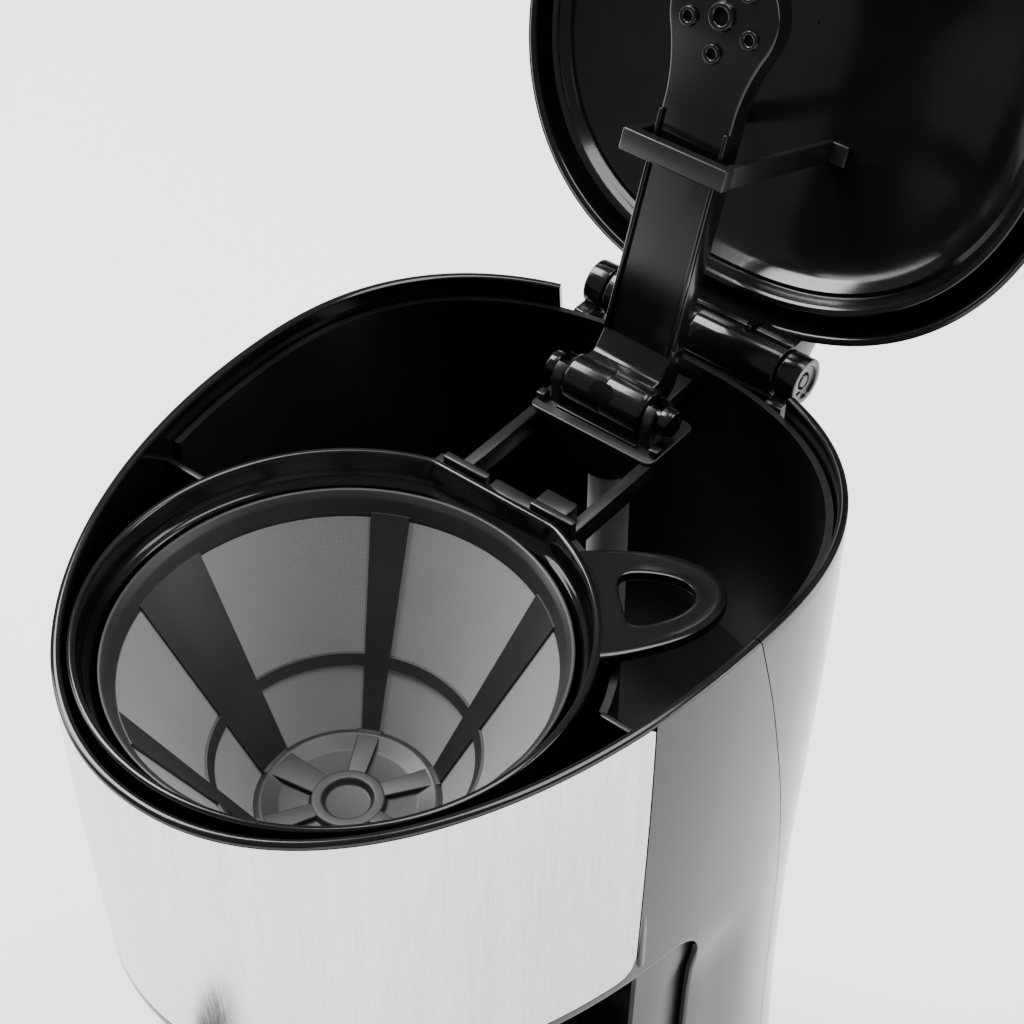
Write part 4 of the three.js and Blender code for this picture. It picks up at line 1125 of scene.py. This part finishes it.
pin = Form()
for side in (-1, 1):
    pin_profile = [(0, 0.0), (2.0, 0.0), (2.0, side * 32.2), (1.6, side * 32.8), (0, side * 32.8)]
    pin.rod(rounded(pin_profile, 0.2), HINGE_Y, HINGE_Z)
# the pin's dark colour is painted shade of the recess it sits in
pin.piece("hinge_pin_rod", PIN_STEEL_SHADED, "housing", "bright_metal", ["hinge_pin"])


# ---------------------------------------------------------------- carafe and base
def carafe():
    outside = [(0, 0), (46, 0), (54, 3), (60, 16), (62, 34), (61, 58), (57, 82), (50, 98), (44.4, 108),
               (44, 112), (46, 119)]
    inside = [(44, 119), (42, 112), (42.4, 107.4), (48, 97), (55, 81), (58.8, 58), (59.8, 34), (57.8, 17),
              (52.4, 5), (45, 2.2), (0, 2.2)]
    profile = [(r, CARAFE_Z + h) for r, h in outside + inside]
    return Form().turned(rounded(profile, 9), 128)


carafe().piece("carafe_bowl", GLASS, "carafe", "clear_glass", ["carafe_glass"], smooth=60)

collar_profile = [(50.8, 98.6), (51.9, 98.8), (46.5, 109.4), (47.4, 116), (46.6, 116), (45.3, 109.6)]
collar = Form().ring([(r, CARAFE_Z + h) for r, h in collar_profile], 0.6, 128)
collar.piece("carafe_collar", CHROME, "carafe", "bright_metal", ["carafe_band"])


def handle():
    side = [(-48.2, 110), (-48.4, 118.4), (-84, 118.4), (-97, 112), (-99, 94), (-96, 30), (-92, 22.4),
            (-84, 22.6), (-64.4, 27), (-64.4, 35), (-84, 33.4), (-87, 92), (-84, 106), (-76, 110)]
    side = [(y, CARAFE_Z + h) for y, h in side]
    return Form().prism(rounded(side, 6, closed=True, steps_each=6), -8.9, 8.9, 2.4, "x")


handle().piece("carafe_grip", GLOSS, "carafe", "gloss_black", ["carafe_handle"])


def cover():
    z = CARAFE_Z + 119.6
    profile = [(9, 6), (14, 3.2), (39.4, 2), (39.4, -8), (41, -8), (41, 0), (49.4, 0), (49.4, 2.2), (46, 7),
               (30, 9.8), (14, 8), (10, 8)]
    form = Form()
    form.ring([(r, z + h) for r, h in profile], 0.8, 128)
    return form.block(-6, 6, -49.6, -34, z + 1, z + 9.4, 1.2)


cover().piece("carafe_cover", GLOSS, "carafe_cover", "gloss_black", ["carafe_lid"])

plate_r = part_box("warming_plate")[1].x / MM
plate_profile = [(0, 37), (plate_r - 3, 37), (plate_r - 3, 39), (plate_r, 39), (plate_r, 40.4),
                 (plate_r - 2, 40.9), (plate_r - 5, 40), (20, 39.9), (0, 39.9)]
plate = Form().turned(rounded(plate_profile, 0.6), 128)
plate.piece("warming_disc", COATED, "housing", "coated_metal", ["warming_plate"])
seal_profile = [(plate_r - 2.6, 36.2), (plate_r + 1.8, 36.2), (plate_r + 1.8, 38.6), (plate_r + 0.3, 38.8),
                (plate_r - 2.6, 38.6)]
seal = Form().ring(seal_profile, 0.4, 128)
seal.piece("plate_seal", SILICONE, "housing", "silicone", ["plate_gasket"])


# ---------------------------------------------------------------- camera, light and floor
def aim(obj, start, target):
    obj.location = start
    obj.rotation_euler = (Vector(target) - Vector(start)).to_track_quat("-Z", "Y").to_euler()


def camera():
    data = bpy.data.cameras.new("photo_camera")
    data.lens = 84.375
    data.sensor_width = 36
    data.clip_start = 0.01
    made = bpy.data.objects.new("photo_camera", data)
    made.location = place((270.4, -270.4, FILTER_Z + 396.3))
    made.rotation_euler = (math.radians(47.06), 0, math.radians(39))
    bpy.context.scene.collection.objects.link(made)
    bpy.context.scene.camera = made


def softbox(name, start, target, width, height, power):
    data = bpy.data.lights.new(name, "AREA")
    data.shape = "RECTANGLE"
    data.size = width
    data.size_y = height
    data.energy = power
    made = bpy.data.objects.new(name, data)
    aim(made, start, target)
    bpy.context.scene.collection.objects.link(made)


def studio():
    world = bpy.data.worlds.new("studio")
    bpy.context.scene.world = world
    world.use_nodes = True
    background = world.node_tree.nodes["Background"]
    background.inputs["Color"].default_value = (1, 1, 1, 1)
    background.inputs["Strength"].default_value = 0.3
    middle = (0, 0, 0.22)
    softbox("overhead", (0.1, 0.45, 1.9), middle, 1.4, 0.6, 26)
    softbox("key", (-0.95, 0.05, 1.55), middle, 0.75, 0.55, 30)
    softbox("left", (-1.6, -0.6, 1.2), middle, 0.5, 1.4, 18)
    softbox("right_back", (1.5, 0.9, 0.9), middle, 0.5, 1.3, 18)
    floor_mesh = bpy.data.meshes.new("studio_floor")
    half = 6
    corners = [(-half, -half, 0), (half, -half, 0), (half, half, 0), (-half, half, 0)]
    floor_mesh.from_pydata(corners, [], [(0, 1, 2, 3)])
    floor = bpy.data.objects.new("studio_floor", floor_mesh)
    bpy.context.scene.collection.objects.link(floor)
    floor_shader = Shader("floor_paper", (0.92, 0.92, 0.92), 0.9)
    floor_shader.tone(floor_shader.noise(3, 2), (0.9, 0.9, 0.9), (0.94, 0.94, 0.94))
    floor_shader.set("Emission Color", (1, 1, 1, 1))
    floor_shader.set("Emission Strength", FLOOR_GLOW)
    floor_mesh.materials.append(floor_shader.material)


camera()
studio()
